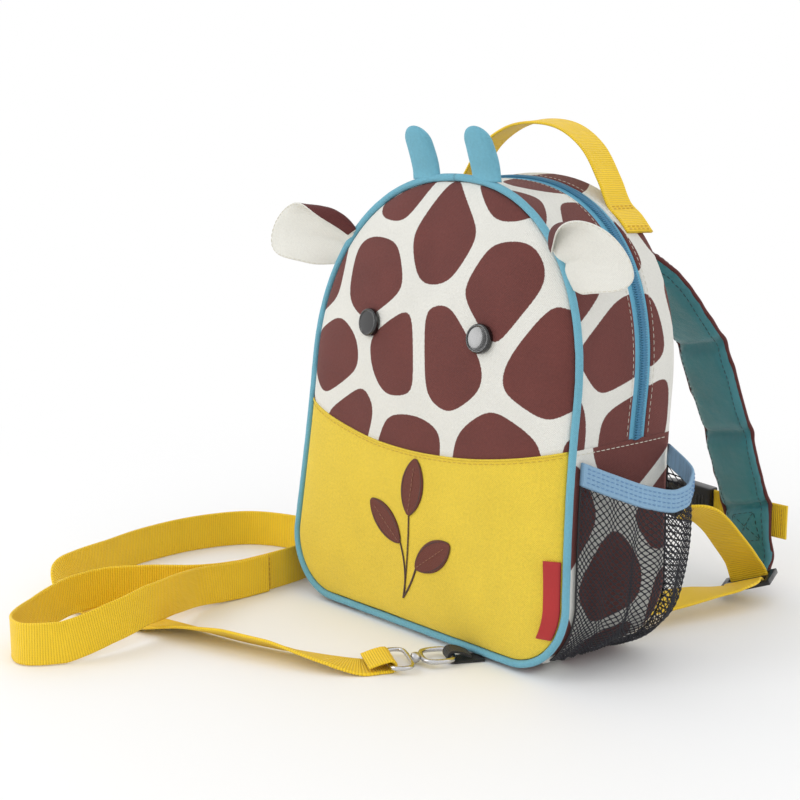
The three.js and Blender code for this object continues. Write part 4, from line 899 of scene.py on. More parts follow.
def ribbon_stitches(colour, stations, corners, off, space=STITCH_SPACE):
    """Stitches along straight runs between corners given as (along, across) on a ribbon."""
    for (from_along, from_across), (to_along, to_across) in zip(corners[:-1], corners[1:]):
        share = np.linspace(0, 1, 14)
        along = lerp(from_along, to_along, share)
        line = ribbon_point(stations, along, lerp(from_across, to_across, share), off)
        outward = ribbon_point(stations, along, 0.0, math.copysign(1.0, off))
        middle = ribbon_point(stations, along, 0.0, 0.0)
        stitch_line(colour, line, unit(outward - middle), RIBBON_STITCH_LENGTH, space)


def box_stitches(colour, stations, start, end, half, off):
    """A sewn box with a cross in it."""
    box = [(start, -half), (end, -half), (end, half), (start, half), (start, -half)]
    ribbon_stitches(colour, stations, box, off)
    ribbon_stitches(colour, stations, [(start, -half), (end, half)], off)
    ribbon_stitches(colour, stations, [(start, half), (end, -half)], off)


# Materials


def node(tree, kind, inputs=None, **settings):
    made = tree.nodes.new(kind)
    for key, value in settings.items():
        setattr(made, key, value)
    for key, value in (inputs or {}).items():
        if isinstance(value, bpy.types.NodeSocket):
            tree.links.new(value, made.inputs[key])
        else:
            made.inputs[key].default_value = value
    return made


def math_node(tree, operation, *values):
    return node(tree, "ShaderNodeMath", dict(enumerate(values)), operation=operation).outputs[0]


def map_range(tree, value, low, high, to_low=0.0, to_high=1.0, **settings):
    inputs = {0: value, 1: low, 2: high, 3: to_low, 4: to_high}
    return node(tree, "ShaderNodeMapRange", inputs, clamp=True, **settings).outputs[0]


def linear(colour):
    """Linear light from a colour of 0 to 255."""
    shares = [value / 255 for value in colour]
    return [s / 12.92 if s <= 0.04045 else ((s + 0.055) / 1.055) ** 2.4 for s in shares] + [1.0]


def darker(colour, share):
    return [value * share for value in colour[:3]] + [1.0]


def paint(tree, shader, colour):
    tree.links.new(colour, shader.inputs["Base Color"])


def object_place(tree):
    return node(tree, "ShaderNodeTexCoord").outputs["Object"]


def mixed(tree, share, first, second, blend="MIX"):
    made = node(tree, "ShaderNodeMix", data_type="RGBA", blend_type=blend)
    for socket, value in ((made.inputs[0], share), (made.inputs[6], first), (made.inputs[7], second)):
        if isinstance(value, bpy.types.NodeSocket):
            tree.links.new(value, socket)
        else:
            socket.default_value = value
    return made.outputs[2]


def new_material(name, roughness, metallic=0.0, sheen=0.0, coat=0.0):
    material = bpy.data.materials.new(name)
    material.use_nodes = True
    tree = material.node_tree
    shader = tree.nodes["Principled BSDF"]
    shader.inputs["Roughness"].default_value = roughness
    shader.inputs["Metallic"].default_value = metallic
    shader.inputs["Sheen Weight"].default_value = sheen
    shader.inputs["Sheen Roughness"].default_value = 0.5
    shader.inputs["Coat Weight"].default_value = coat
    return material, tree, shader


def noise(tree, vector, scale, detail=2.0, rough=0.5):
    inputs = {"Vector": vector, "Scale": scale, "Detail": detail, "Roughness": rough}
    return node(tree, "ShaderNodeTexNoise", inputs).outputs[0]


def cloth_vector(tree):
    return node(tree, "ShaderNodeAttribute", attribute_name="cloth").outputs["Vector"]


def waves(tree, value, pitch):
    return math_node(tree, "SINE", math_node(tree, "MULTIPLY", value, 2 * math.pi / pitch))


def plain_weave(tree, vector, pitch):
    """Height of a plain weave, with slubs."""
    parts = node(tree, "ShaderNodeSeparateXYZ", {0: vector})
    product = math_node(
        tree, "MULTIPLY", waves(tree, parts.outputs[0], pitch), waves(tree, parts.outputs[1], pitch),
    )
    slub = noise(tree, vector, 0.75 / pitch, 3.0, 0.75)
    return math_node(tree, "ADD", math_node(tree, "MULTIPLY", product, 0.35), slub)


def ribbed_weave(tree, vector, pitch):
    """Height of webbing: ribs across it, crossed by fine threads along it."""
    parts = node(tree, "ShaderNodeSeparateXYZ", {0: vector})
    ribs = math_node(tree, "ABSOLUTE", waves(tree, parts.outputs[0], 2 * pitch))
    threads = math_node(tree, "MULTIPLY", waves(tree, parts.outputs[1], 0.9), 0.18)
    slub = math_node(tree, "MULTIPLY", noise(tree, vector, 1.3, 2.0), 0.35)
    return math_node(tree, "ADD", math_node(tree, "ADD", ribs, threads), slub)


def apply_bump(tree, shader, height, depth, strength=1.0):
    inputs = {"Height": height, "Distance": depth * MM, "Strength": strength}
    bump = node(tree, "ShaderNodeBump", inputs)
    tree.links.new(bump.outputs[0], shader.inputs["Normal"])


BLOTCH_SIZE = 22.0


def shaded(tree, colour, vector, height, gap_shade, blotch):
    """Colour with painted shade in the gaps between the threads, varying softly over the cloth."""
    share = map_range(tree, height, 0.1, 0.85)
    gap_shaded_weave = mixed(tree, share, darker(colour, 1 - gap_shade), colour)
    soft = noise(tree, vector, 1 / BLOTCH_SIZE, 2.0)
    shade = map_range(tree, soft, 0.3, 0.7, 1 - blotch)
    grey = node(tree, "ShaderNodeCombineColor", {0: shade, 1: shade, 2: shade}).outputs[0]
    return mixed(tree, 1.0, gap_shaded_weave, grey, "MULTIPLY")


def woven_material(name, colour, roughness=0.85, pitch=1.0, depth=0.22, gap_shade=0.16, sheen=0.08,
                   weave=plain_weave, blotch=0.08):
    material, tree, shader = new_material(name, roughness, sheen=sheen)
    vector = cloth_vector(tree)
    height = weave(tree, vector, pitch)
    # Its colour carries painted shade in the gaps between the threads.
    paint(tree, shader, shaded(tree, linear(colour), vector, height, gap_shade, blotch))
    apply_bump(tree, shader, height, depth)
    return material


PATCH_SPACING = 54
PATCH_ROWS = 0.9
PATCH_SHAKE = 0.26
PATCH_GAP = 8.4
PATCH_ROUNDING = 3.6
PATCH_LAYOUT = 256
PATCH_NEIGHBOURS = 8
CLOTH_REACH = 9


def patch_middles():
    """Middles of the print's patches on the whole cloth, in staggered rows, then shaken."""
    random = np.random.default_rng(PATCH_LAYOUT)
    rows, columns = np.meshgrid(
        np.arange(-1, 2 * CLOTH_REACH + 1), np.arange(-CLOTH_REACH, CLOTH_REACH + 1), indexing="ij",
    )
    middles = np.stack([columns + 0.5 * (rows % 2), rows * PATCH_ROWS], -1).reshape(-1, 2)
    shaken = (random.random(middles.shape) - 0.5) * 2 * PATCH_SHAKE
    return (middles + shaken) * PATCH_SPACING


def print_depth(places):
    """How far a place on the cloth lies inside a patch of the print, in millimetres.
    Patches end halfway to their neighbours, with rounded corners and a gap between them."""
    middles = patch_middles()
    squares = ((places[:, None, :2] - middles[None]) ** 2).sum(2)
    nearest = np.argsort(squares, axis=1)[:, :PATCH_NEIGHBOURS]
    squares = np.take_along_axis(squares, nearest, axis=1)
    own = middles[nearest[:, 0]]
    total = 0.0
    for k in range(1, PATCH_NEIGHBOURS):
        apart = np.linalg.norm(middles[nearest[:, k]] - own, axis=1)
        total = total + np.exp((squares[:, 0] - squares[:, k]) / (2 * apart * PATCH_ROUNDING))
    return -PATCH_ROUNDING * np.log(total) - PATCH_GAP / 2


def patched_canvas(name, ground, patch):
    """Canvas printed with patches wherever its print value is above 0."""
    material, tree, shader = new_material(name, 0.85, sheen=0.05)
    vector = cloth_vector(tree)
    height = plain_weave(tree, vector, 1.0)
    # Ground and patches both carry painted shade between the threads, deeper on the patches.
    base = shaded(tree, linear(ground), vector, height, 0.15, 0.05)
    printed = shaded(tree, linear(patch), vector, height, 0.42, 0.14)
    depth = node(tree, "ShaderNodeAttribute", attribute_name="print").outputs["Fac"]
    soaked = math_node(tree, "ADD", depth, math_node(tree, "MULTIPLY", noise(tree, vector, 0.9), 0.5))
    share = map_range(tree, soaked, 0.1, 0.4)
    paint(tree, shader, mixed(tree, share, base, printed))
    apply_bump(tree, shader, height, 0.26)
    return material


def solid_material(name, colour, roughness, metallic=0.0, coat=0.0, grain=0.02, grain_scale=900.0):
    """Moulded or plated surface with fine grain and soft wear in its gloss."""
    material, tree, shader = new_material(name, roughness, metallic, coat=coat)
    place = object_place(tree)
    height = noise(tree, place, grain_scale, 3.0)
    smudges = noise(tree, place, 90.0, 3.0)
    wear = map_range(tree, smudges, 0.35, 0.7, roughness * 0.8, roughness * 1.25)
    tree.links.new(wear, shader.inputs["Roughness"])
    paint(tree, shader, mixed(tree, height, darker(linear(colour), 0.82), linear(colour)))
    apply_bump(tree, shader, height, grain)
    return material


def satin_material(name, colour):
    """Smooth tight weave with a soft shine, slight drag marks along the cloth, and painted shade between
    its threads.
    """
    material, tree, shader = new_material(name, 0.38, sheen=0.3)
    vector = cloth_vector(tree)
    fine = plain_weave(tree, vector, 0.4)
    drag = noise(tree, vector, 0.07, 3.0)
    height = math_node(tree, "ADD", math_node(tree, "MULTIPLY", fine, 0.04), drag)
    paint(tree, shader, shaded(tree, linear(colour), vector, fine, 0.12, 0.18))
    apply_bump(tree, shader, height, 1.2)
    return material


def thread_material(name, colour):
    material, tree, shader = new_material(name, 0.6, sheen=0.2)
    place = object_place(tree)
    twist = noise(tree, place, 2600.0, 1.0)
    paint(tree, shader, mixed(tree, twist, darker(linear(colour), 0.7), linear(colour)))
    apply_bump(tree, shader, twist, 0.06)
    return material


PRINTED = "patched_canvas"
CANVAS = patched_canvas(PRINTED, (230, 229, 222), (116, 56, 50))
CREAM = woven_material("cream_canvas", (229, 228, 220), gap_shade=0.15, blotch=0.05)
YELLOW = woven_material("yellow_canvas", (244, 213, 64), pitch=1.05, gap_shade=0.3, depth=0.3, blotch=0.06)
BROWN = woven_material("brown_canvas", (92, 36, 34), gap_shade=0.24, sheen=0.05)
BLUE = woven_material("blue_canvas", (116, 184, 206), pitch=0.9, depth=0.22, gap_shade=0.32)
TAPE = woven_material("zip_tape", (98, 172, 202), roughness=0.7, pitch=0.7, depth=0.12, gap_shade=0.18)
COIL = solid_material("zip_coil", (56, 124, 160), 0.45)
WEBBING = woven_material(
    "yellow_webbing", (250, 208, 22), roughness=0.55, pitch=1.25, depth=0.3, gap_shade=0.24, sheen=0.08,
    weave=ribbed_weave, blotch=0.06,
)
BLACK_WEBBING = woven_material(
    "black_webbing", (26, 26, 28), roughness=0.6, pitch=0.9, depth=0.2, weave=ribbed_weave,
)
BINDING = woven_material(
    "elastic_binding", (138, 176, 206), roughness=0.7, pitch=0.8, depth=0.14, gap_shade=0.14,
    weave=ribbed_weave,
)
TEAL = satin_material("teal_satin", (40, 122, 132))
TAG = woven_material("red_tape", (176, 26, 28), roughness=0.5, pitch=0.5, depth=0.06, gap_shade=0.12)
FELT = woven_material("brown_felt", (112, 54, 42), roughness=0.95, pitch=0.5, depth=0.2, sheen=0.1)
NET = solid_material("net_strand", (34, 34, 42), 0.55)
PLASTIC = solid_material("black_plastic", (24, 24, 26), 0.36, grain=0.03, grain_scale=1400.0)
BUTTON = solid_material("black_button", (10, 10, 12), 0.16, coat=0.6, grain=0.004)
STEEL = solid_material("plated_steel", (206, 206, 208), 0.24, metallic=1.0, grain=0.01)
FOAM = woven_material("padded_canvas", (232, 230, 220), gap_shade=0.1, pitch=1.0, blotch=0.05)
THREAD_MATERIALS = {
    "cream": thread_material("cream_thread", (226, 222, 206)),
    "yellow": thread_material("yellow_thread", (214, 178, 40)),
    "gold": thread_material("gold_thread", (214, 160, 16)),
    "brown": thread_material("brown_thread", (70, 32, 22)),
    "tan": thread_material("tan_thread", (150, 96, 70)),
    "blue": thread_material("blue_thread", (92, 140, 190)),
    "teal": thread_material("teal_thread", (14, 58, 68)),
}


# Camera, floor and lights


STUDIO_LIGHT = 1.0
LIGHTS = (
    {"name": "key", "place": (-0.55, -1.15, 1.1), "size": 0.7, "power": 3.2},
    {"name": "panel", "place": (-0.66, -0.98, 0.3), "size": 0.3, "power": 1.6},
    {"name": "fill", "place": (1.2, 0.3, 0.9), "size": 0.8, "power": 1.2},
)
LIGHT_AIM = (0, 0, 0.12)
FLOOR_RINGS = (0.4, 0.9, 2.0, 8.0, 30.0)
FLOOR_SIDES = 96
FLOOR_FADE = (0.22, 0.62)
FLOOR_GREY = (0.9, 0.9, 0.9, 1.0)
WHITE = (1.0, 1.0, 1.0, 1.0)


def build_stage():
    camera = bpy.data.cameras.new("camera")
    camera.lens = LENS
    camera.sensor_width = SENSOR
    camera.clip_start = 0.02
    holder = placed("camera", camera)
    place = Vector(CAMERA_PLACE) * MM
    holder.location = place
    aim = Vector(CAMERA_AIM) * MM - place
    holder.rotation_euler = aim.to_track_quat("-Z", "Y").to_euler()
    bpy.context.scene.camera = holder
    bpy.context.scene.view_settings.view_transform = "Standard"
    build_floor()
    for light in LIGHTS:
        build_light(**light)
    world = bpy.data.worlds.new("studio")
    world.use_nodes = True
    background = world.node_tree.nodes["Background"]
    background.inputs["Color"].default_value = WHITE
    background.inputs["Strength"].default_value = STUDIO_LIGHT
    bpy.context.scene.world = world


def build_floor():
    """A pale floor that fades into the studio's even light far from the object."""
    mesh = bpy.data.meshes.new("floor")
    points = [(0.0, 0.0, 0.0)]
    for radius in FLOOR_RINGS:
        points += [(radius * math.cos(a), radius * math.sin(a), 0.0) for a in full_turn(FLOOR_SIDES)]
    quads, first, _ = ring_quads(len(FLOOR_RINGS), FLOOR_SIDES)
    inner = [(0, 1 + int(after), 1 + int(k)) for k, after in zip(first, np.roll(first, -1))]
    mesh.from_pydata(points, [], inner + (quads[:, ::-1] + 1).tolist())
    material, tree, shader = new_material("floor", 0.7)
    shader.inputs["Base Color"].default_value = FLOOR_GREY
    place = object_place(tree)
    away = node(tree, "ShaderNodeVectorMath", {0: place}, operation="LENGTH").outputs["Value"]
    share = map_range(tree, away, *FLOOR_FADE, interpolation_type="SMOOTHSTEP")
    glow = node(tree, "ShaderNodeEmission", {"Color": WHITE, "Strength": STUDIO_LIGHT})
    blend = node(tree, "ShaderNodeMixShader", {0: share, 1: shader.outputs[0], 2: glow.outputs[0]})
    tree.links.new(blend.outputs[0], tree.nodes["Material Output"].inputs["Surface"])
    mesh.materials.append(material)
    placed("floor", mesh)


def build_light(name, place, size, power):
    light = bpy.data.lights.new(name, "AREA")
    light.shape = "DISK"
    light.size = size
    light.energy = power
    holder = placed(name, light)
    holder.location = place
    aim = Vector(LIGHT_AIM) - Vector(place)
    holder.rotation_euler = aim.to_track_quat("-Z", "Y").to_euler()


# Front of the bag


def spread(count, both=True):
    """Shares that crowd towards their ends, where a panel turns over."""
    if both:
        return np.sin(np.linspace(-math.pi / 2, math.pi / 2, count))
    return np.sin(np.linspace(0, math.pi / 2 * LAST_ROW, count))


def front_sheet(name, node_name, material, share, heights):
    x = share[None, :] * half_width_at(heights, PANEL_INSET)
    outer = panel_point(x, heights)
    body = sheet_body(outer, outer + (0.0, WALL, 0.0), stack(x, heights, 0.0))
    made = piece(name, body, material, (node_name,))
    return made


def build_front():
    share = spread(101)
    seam = panel_seam(share)[None, :]
    top = BAG_HEIGHT - PANEL_INSET
    up = spread(81, both=False)[:, None]
    heights = lerp(seam + GAP / 2, top, up)
    front_sheet("front_upper_cloth", "front_panel_upper", CANVAS, share, heights)
    down = 1 - np.sin(np.linspace(math.pi / 2, 0, 61))[:, None]
    heights = lerp(PANEL_INSET, seam - GAP / 2, down)
    front_sheet("front_lower_cloth", "front_panel_lower", YELLOW, share, heights)
    build_front_seams()


SEAM_STITCH_DROP = 2.4
SEAM_FOLD_DROP = 0.5
SEAM_FOLD_RADIUS = 0.55


def seam_line(reach, steps, drop, proud):
    """A line across the front, below the join of its two panels."""
    share = np.linspace(-reach, reach, steps)
    s = panel_seam(share) - drop
    return panel_point(share * half_width_at(s, PANEL_INSET), s, proud)


def build_front_seams():
    """The lower panel's folded edge and the topstitching below it."""
    stitch_line("yellow", seam_line(0.985, 160, SEAM_STITCH_DROP, 0.12), FORWARD)
    fold = seam_line(0.998, 200, SEAM_FOLD_DROP, 0.1)
    tube("front_seam_fold", fold, SEAM_FOLD_RADIUS, YELLOW, 8)


def tube(name, route, radius, material, sides):
    """A round tube through dense points, with closed ends."""
    route = np.asarray(route, float)
    heading = unit(np.gradient(route, axis=0))
    side = unit(np.cross(heading, (0.02, -1.0, 0.03)))
    stations = {
        "place": route,
        "side": side,
        "normal": unit(np.cross(heading, side)),
        "width": np.full(len(route), 2.0 * radius),
        "thickness": np.full(len(route), 2.0 * radius),
        "along": lengths_along(route),
    }
    return piece(name, swept_body(stations, round_section(sides)), material)


PIPING_STEPS = 520
PIPING_SIDES = 14
PIPING_PUCKER = 0.035


def build_piping():
    """Cord covered in cloth, all round the front, with faint puckers."""
    distance = np.linspace(-HALF_LENGTH, HALF_LENGTH, PIPING_STEPS, endpoint=False)
    x, s, _, _ = outline_at(distance, PIPING_RADIUS)
    middle = stack(x, front_edge(s), height_of(s))
    heading = unit(np.roll(middle, -1, axis=0) - np.roll(middle, 1, axis=0))
    first = unit(np.cross(heading, BACKWARD))
    second = np.cross(heading, first)
    turn = full_turn(PIPING_SIDES)
    pucker = 1 + PIPING_PUCKER * soft_noise(distance[:, None] / 1.7, turn[None, :] * 1.0)
    ring = first[:, None] * np.cos(turn)[None, :, None] + second[:, None] * np.sin(turn)[None, :, None]
    points = middle[:, None] + ring * (PIPING_RADIUS * pucker)[..., None]
    index = np.arange(PIPING_STEPS * PIPING_SIDES).reshape(PIPING_STEPS, PIPING_SIDES)
    ahead = np.roll(index, -1, axis=0)
    faces = np.stack([index, np.roll(index, -1, 1), np.roll(ahead, -1, 1), ahead], -1).reshape(-1, 4)
    cloth = stack(distance[:, None], turn[None, :] * PIPING_RADIUS, 0.0)
    body = (points.reshape(-1, 3), faces, cloth.reshape(-1, 3))
    piece("piping_cloth", body, BLUE, ("front_piping",))


# Sides and back


ARCH_START = distance_at_height(GUSSET_SEAM) + GAP / 2


def over_top(share):
    """Distances up the right side, over the top and down the left, as runs past the top."""
    run = HALF_LENGTH - ARCH_START
    along = lerp(-run, run, share)
    return np.where(along < 0, HALF_LENGTH + along, -(HALF_LENGTH - along)), along


def gusset_ripple(along, depth):
    """Slack of the sides' cloth, which ends where they are sewn to the base."""
    slack = smoothstep(HALF_LENGTH - ARCH_START - np.abs(along), 2, 25)
    return SIDE_RIPPLE * slack * soft_noise(along / 13, depth / 8, 2.0)


ARCH_STEPS = 261
ROUND_STEPS = 8


def arch_strip(name, node_name, material, depths, proud, thickness=WALL, slack=True):
    """A strip over the top of the bag, between two depths behind its front."""
    distance, along = over_top(np.linspace(0, 1, ARCH_STEPS)[:, None])
    if slack:
        edge = np.minimum(depths - depths[0], depths[-1] - depths)
        eased = smoothstep(edge, 0, SLACK_RUN)[None, :]
        proud = (proud + gusset_ripple(along, depths[None, :])) * eased
    outer = gusset_point(distance, depths[None, :], proud)
    cloth = stack(along, depths[None, :] + SIDE_CLOTH, 0.0)
    body = sheet_body(outer, outer + grid_normals(outer) * thickness, cloth)
    made = piece(name, body, material, (node_name,))
    return made


def build_arch():
    arch_strip(
        "front_strip_cloth", "gusset_front_strip", CANVAS,
        np.linspace(SIDE_START, FRONT_STRIP + ZIP_LAP, 22), 0.0,
    )
    build_rear_strip()
    build_zip()
    for edge, inward in ((FRONT_STRIP + ZIP_LAP, -1), (REAR_START - ZIP_LAP, 1)):
        share = np.linspace(0.004, 0.996, 700)
        distance, along = over_top(share)
        depth = np.full_like(share, edge + inward * ZIP_STITCHING)
        slack = gusset_ripple(along, depth) * smoothstep(ZIP_STITCHING, 0, SLACK_RUN)
        line = gusset_point(distance, depth, 0.1 + slack)
        outward = unit(gusset_point(distance, depth, 2.0) - line)
        stitch_line("cream", line, outward, **ZIP_STITCH)


def wrapped_grid(distance, start, steps):
    """The bag's side from a depth to its back seam, rounding the back's edge, and the depths there."""
    _, rim_s, _, _ = outline_at(distance)
    flat_end = back_edge(rim_s) - front_edge(rim_s) - BACK_ROUND
    depth = lerp(start, flat_end, np.linspace(0, 1, steps)[None, :])
    level = gusset_point(distance, depth)
    turn = np.linspace(0, 1, ROUND_STEPS + 1)[None, 1:]
    corner = back_corner_point(np.broadcast_to(distance, (len(distance), ROUND_STEPS)), turn)
    arc = np.broadcast_to(flat_end + turn * BACK_ROUND * math.pi / 2, corner.shape[:2])
    return np.concatenate([level, corner], axis=1), np.concatenate([depth, arc], axis=1)


def build_rear_strip():
    distance, along = over_top(np.linspace(0, 1, ARCH_STEPS)[:, None])
    outer, depth = wrapped_grid(distance, REAR_START - ZIP_LAP, 11)
    cloth = stack(along, depth + SIDE_CLOTH, 0.0)
    body = sheet_body(outer, outer + grid_normals(outer) * WALL, cloth)
    made = piece("rear_strip_cloth", body, CANVAS, ("gusset_rear_strip",))


def build_zip():
    """Two tapes, the closed coil between them and its slider."""
    depths = ZIP_START + ZIP_WIDTH * np.linspace(0, 1, 25)
    centre = np.abs(depths - (ZIP_START + ZIP_WIDTH / 2))
    rise = smoothstep(centre, COIL_WIDTH * 0.9, COIL_WIDTH * 0.4)
    groove = smoothstep(centre, 1.0, 0.2)
    arch_strip(
        "zip_tapes", "zip", TAPE, depths,
        -ZIP_SINK + TAPE_RISE * rise - TAPE_GROOVE * groove, thickness=TAPE_THICKNESS, slack=False,
    )
    share = np.linspace(0, 1, 1500)
    distance, _ = over_top(share)
    middle = ZIP_START + ZIP_WIDTH / 2
    rows = []
    for offset, shift in ((-COIL_STAGGER, 0.0), (COIL_STAGGER, 0.5)):
        line = {}
        for key, depth in (("start", -0.5 + offset), ("end", 0.5 + offset)):
            across = np.full_like(share, middle + depth * COIL_WIDTH)
            line[key] = gusset_point(distance, across, COIL_LIFT)
        lifted = gusset_point(distance, np.full_like(share, middle), 3.0)
        reach = lengths_along(line["start"])
        spots = np.arange(shift * COIL_PITCH, reach[-1] - 2, COIL_PITCH)
        start, end, top = (
            read_line(spots, reach, route) for route in (line["start"], line["end"], lifted)
        )
        rows.append(capsules(start, end, COIL_RADIUS, unit(top - start), flat=1.0))
    piece("zip_coil", joined(rows), COIL)
    build_slider()


def build_slider():
    """Plain slider and its pull, at the foot of the hidden side."""
    refined("zip_slider", "zip_slider_metal", STEEL, bevel=0.8)
    low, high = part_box("zip_slider")
    middle = (low + high) / 2 / MM
    start = np.array([[low.x / MM + 0.2, middle.y, high.z / MM - PULL_TUCK]])
    end = np.array([[low.x / MM - 0.1, middle.y, low.z / MM - PULL_HANG]])
    body = capsules(start, end, PULL_RADIUS, np.array([RIGHTWARD]), sides=16, flat=PULL_FLAT)
    piece("zip_pull", body + (body[0],), STEEL)


def build_base():
    """The strip round the base and the lower sides, with its topstitching beside the zip's ends."""
    reach = ARCH_START - GAP
    distance = np.linspace(reach, -reach, 301)[:, None]
    outer, depth = wrapped_grid(distance, SIDE_START, 41)
    cloth = stack(distance, depth + BASE_CLOTH, 0.0)
    body = sheet_body(outer, outer - grid_normals(outer) * WALL, cloth)
    made = piece("base_cloth", body, CANVAS, ("base_gusset",))
    for _, mirror in SIDES:
        across = np.linspace(SIDE_START + 1, BAG_DEPTH - 10, 60)
        down = np.full_like(across, (reach - 2.0) * mirror)
        line = gusset_point(down, across, 0.12)
        stitch_line("cream", line, (float(mirror), 0.0, 0.0))


# Padded pieces are swollen by a cloth simulation with pressure


SWELLING = {
    "quality": 5,
    "mass": 0.3,
    "tension_stiffness": 12,
    "compression_stiffness": 12,
    "bending_stiffness": 0.4,
    "use_pressure": True,
    "uniform_pressure_force": 4,
}
SWELLING_FRAMES = 20


def object_from(name, body):
    return placed(name, closed_mesh(name, body[0], body[1]))


def vertex_array(mesh):
    places = np.zeros(len(mesh.vertices) * 3, np.float32)
    mesh.vertices.foreach_get("co", places)
    return places.reshape(-1, 3).astype(float)


def write_places(mesh, places):
    mesh.vertices.foreach_set("co", places.astype(np.float32).ravel())
    mesh.update()


def keep_modified(shape):
    """Gives a shape the mesh that its modifiers make."""
    graph = bpy.context.evaluated_depsgraph_get()
    mesh = bpy.data.meshes.new_from_object(shape.evaluated_get(graph))
    shape.modifiers.clear()
    shape.data = mesh


def remeshed(shape, voxel):
    modifier = shape.modifiers.new("voxels", "REMESH")
    modifier.mode = "VOXEL"
    modifier.voxel_size = voxel * MM
    bpy.context.view_layer.update()
    keep_modified(shape)
    return shape


def swell(shapes, limits):
    """Swells closed cloth bodies by air pressure, each point by no more than its limit."""
    scene = bpy.context.scene
    before = []
    for shape in shapes:
        before.append(vertex_array(shape.data))
        cloth = shape.modifiers.new("cloth", "CLOTH")
        for key, value in SWELLING.items():
            setattr(cloth.settings, key, value)
        cloth.settings.effector_weights.gravity = 0
        cloth.point_cache.frame_end = SWELLING_FRAMES
    for step in range(1, SWELLING_FRAMES + 1):
        scene.frame_set(step)
    graph = bpy.context.evaluated_depsgraph_get()
    for shape, start, limit in zip(shapes, before, limits):
        moved = vertex_array(shape.evaluated_get(graph).data) - start
        size = np.maximum(np.linalg.norm(moved, axis=1, keepdims=True), 1e-12)
        moved *= np.minimum(1.0, limit * MM / size)
        shape.modifiers.clear()
        write_places(shape.data, start + moved)
    scene.frame_set(1)


def subdivided(shape):
    modifier = shape.modifiers.new("finer", "SUBSURF")
    modifier.levels = 1
    modifier.render_levels = 1
    keep_modified(shape)
    shape.data.shade_smooth()


STRAP_FOLDS = np.concatenate([STRAP_ROUTE["fold"], (0.0, 0.0)])


def strap_stations(mirror):
    """Stations of a shoulder strap, from its seam at the top to its ladder lock."""
    start = back_edge(BAG_HEIGHT * STRAP_ROUTE["up"][0]) + STRAP_THICKNESS / 2 + 4 * GAP
    route = stack(
        STRAP_ROUTE["spread"] * STRAP_SPREAD,
        start + STRAP_ROUTE["reach"] * STRAP_REACH,
        STRAP_ROUTE["up"] * BAG_HEIGHT,
    )
    tip = LOCK_LENGTH / 2 + 3 * GAP
    route = np.vstack([
        route, lock_place(tip + STRAP_THICKNESS, STRAP_THICKNESS / 4), lock_place(tip, 0.0),
    ])
    widths = np.concatenate([STRAP_ROUTE["width"], STRAP_TIP_WIDTHS])

    def side_of(share, heading):
        turned = smoothstep(share, STRAP_TURN, 1)[:, None]
        return lerp(np.array(RIGHTWARD), LOCK_ACROSS, turned)

    stations = stations_along(
        route, 6, side_of, lambda share: STRAP_WIDTH * at_share(widths, share),
        STRAP_THICKNESS,
    )
    fold = at_share(STRAP_FOLDS, stations["share"]) ** 3
    stations["place"] = stations["place"] - stations["normal"] * (FOLD_DEPTH * fold)[:, None]
    tip_share = smoothstep(stations["share"], STRAP_THINS, 1)
    stations["thickness"] = STRAP_THICKNESS * (1 - FOLD_THINNING * fold) * (1 - TIP_THINNING * tip_share)
    return mirrored_stations(stations, mirror)


def mirrored_stations(stations, mirror):
    flipped = dict(stations)
    if mirror < 0:
        for key in ("place", "heading", "side", "normal"):
            flipped[key] = stations[key] * (-1.0, 1.0, 1.0)
    return flipped


def ribbon_coordinates(stations, points):
    """Along, across and off a ribbon for points near it."""
    spots = np.empty(len(points), int)
    for start in range(0, len(points), 4000):
        part = points[start : start + 4000]
        away = np.linalg.norm(part[:, None] - stations["place"][None], axis=2)
        spots[start : start + 4000] = away.argmin(1)
    gap = points - stations["place"][spots]
    parts = [np.sum(gap * stations[key][spots], axis=1) for key in ("heading", "side", "normal")]
    return np.stack([stations["along"][spots] + parts[0], parts[1], parts[2]], -1), spots


def lock_axes():
    across = np.array([
        math.cos(LOCK_YAW) * math.cos(LOCK_ROLL),
        math.sin(LOCK_YAW) * math.cos(LOCK_ROLL),
        math.sin(LOCK_ROLL),
    ])
    along = np.array([
        -math.sin(LOCK_YAW) * math.cos(LOCK_PITCH),
        math.cos(LOCK_YAW) * math.cos(LOCK_PITCH),
        math.sin(LOCK_PITCH),
    ])
    along = unit(along - across * np.dot(along, across))
    return across, along, np.cross(across, along)


LOCK_ACROSS, LOCK_ALONG, LOCK_OFF = lock_axes()
LOCK_HALF_HEIGHT = (LOCK_ACROSS[2] * LOCK_WIDTH + abs(LOCK_ALONG[2]) * LOCK_LENGTH + LOCK_THICKNESS) / 2
LOCK_MIDDLE = np.array([LOCK_SPREAD, BAG_DEPTH / 2 + LOCK_SET_BACK, LOCK_HALF_HEIGHT + LOCK_LIFT])


def lock_place(along, off):
    return LOCK_MIDDLE + LOCK_ALONG * along + LOCK_OFF * off


EAR_ROWS = 56
EAR_COLUMNS = 45
EAR_SEAM = 3
EAR_MIDDLE = slice(EAR_COLUMNS // 2, EAR_COLUMNS // 2 + 1)


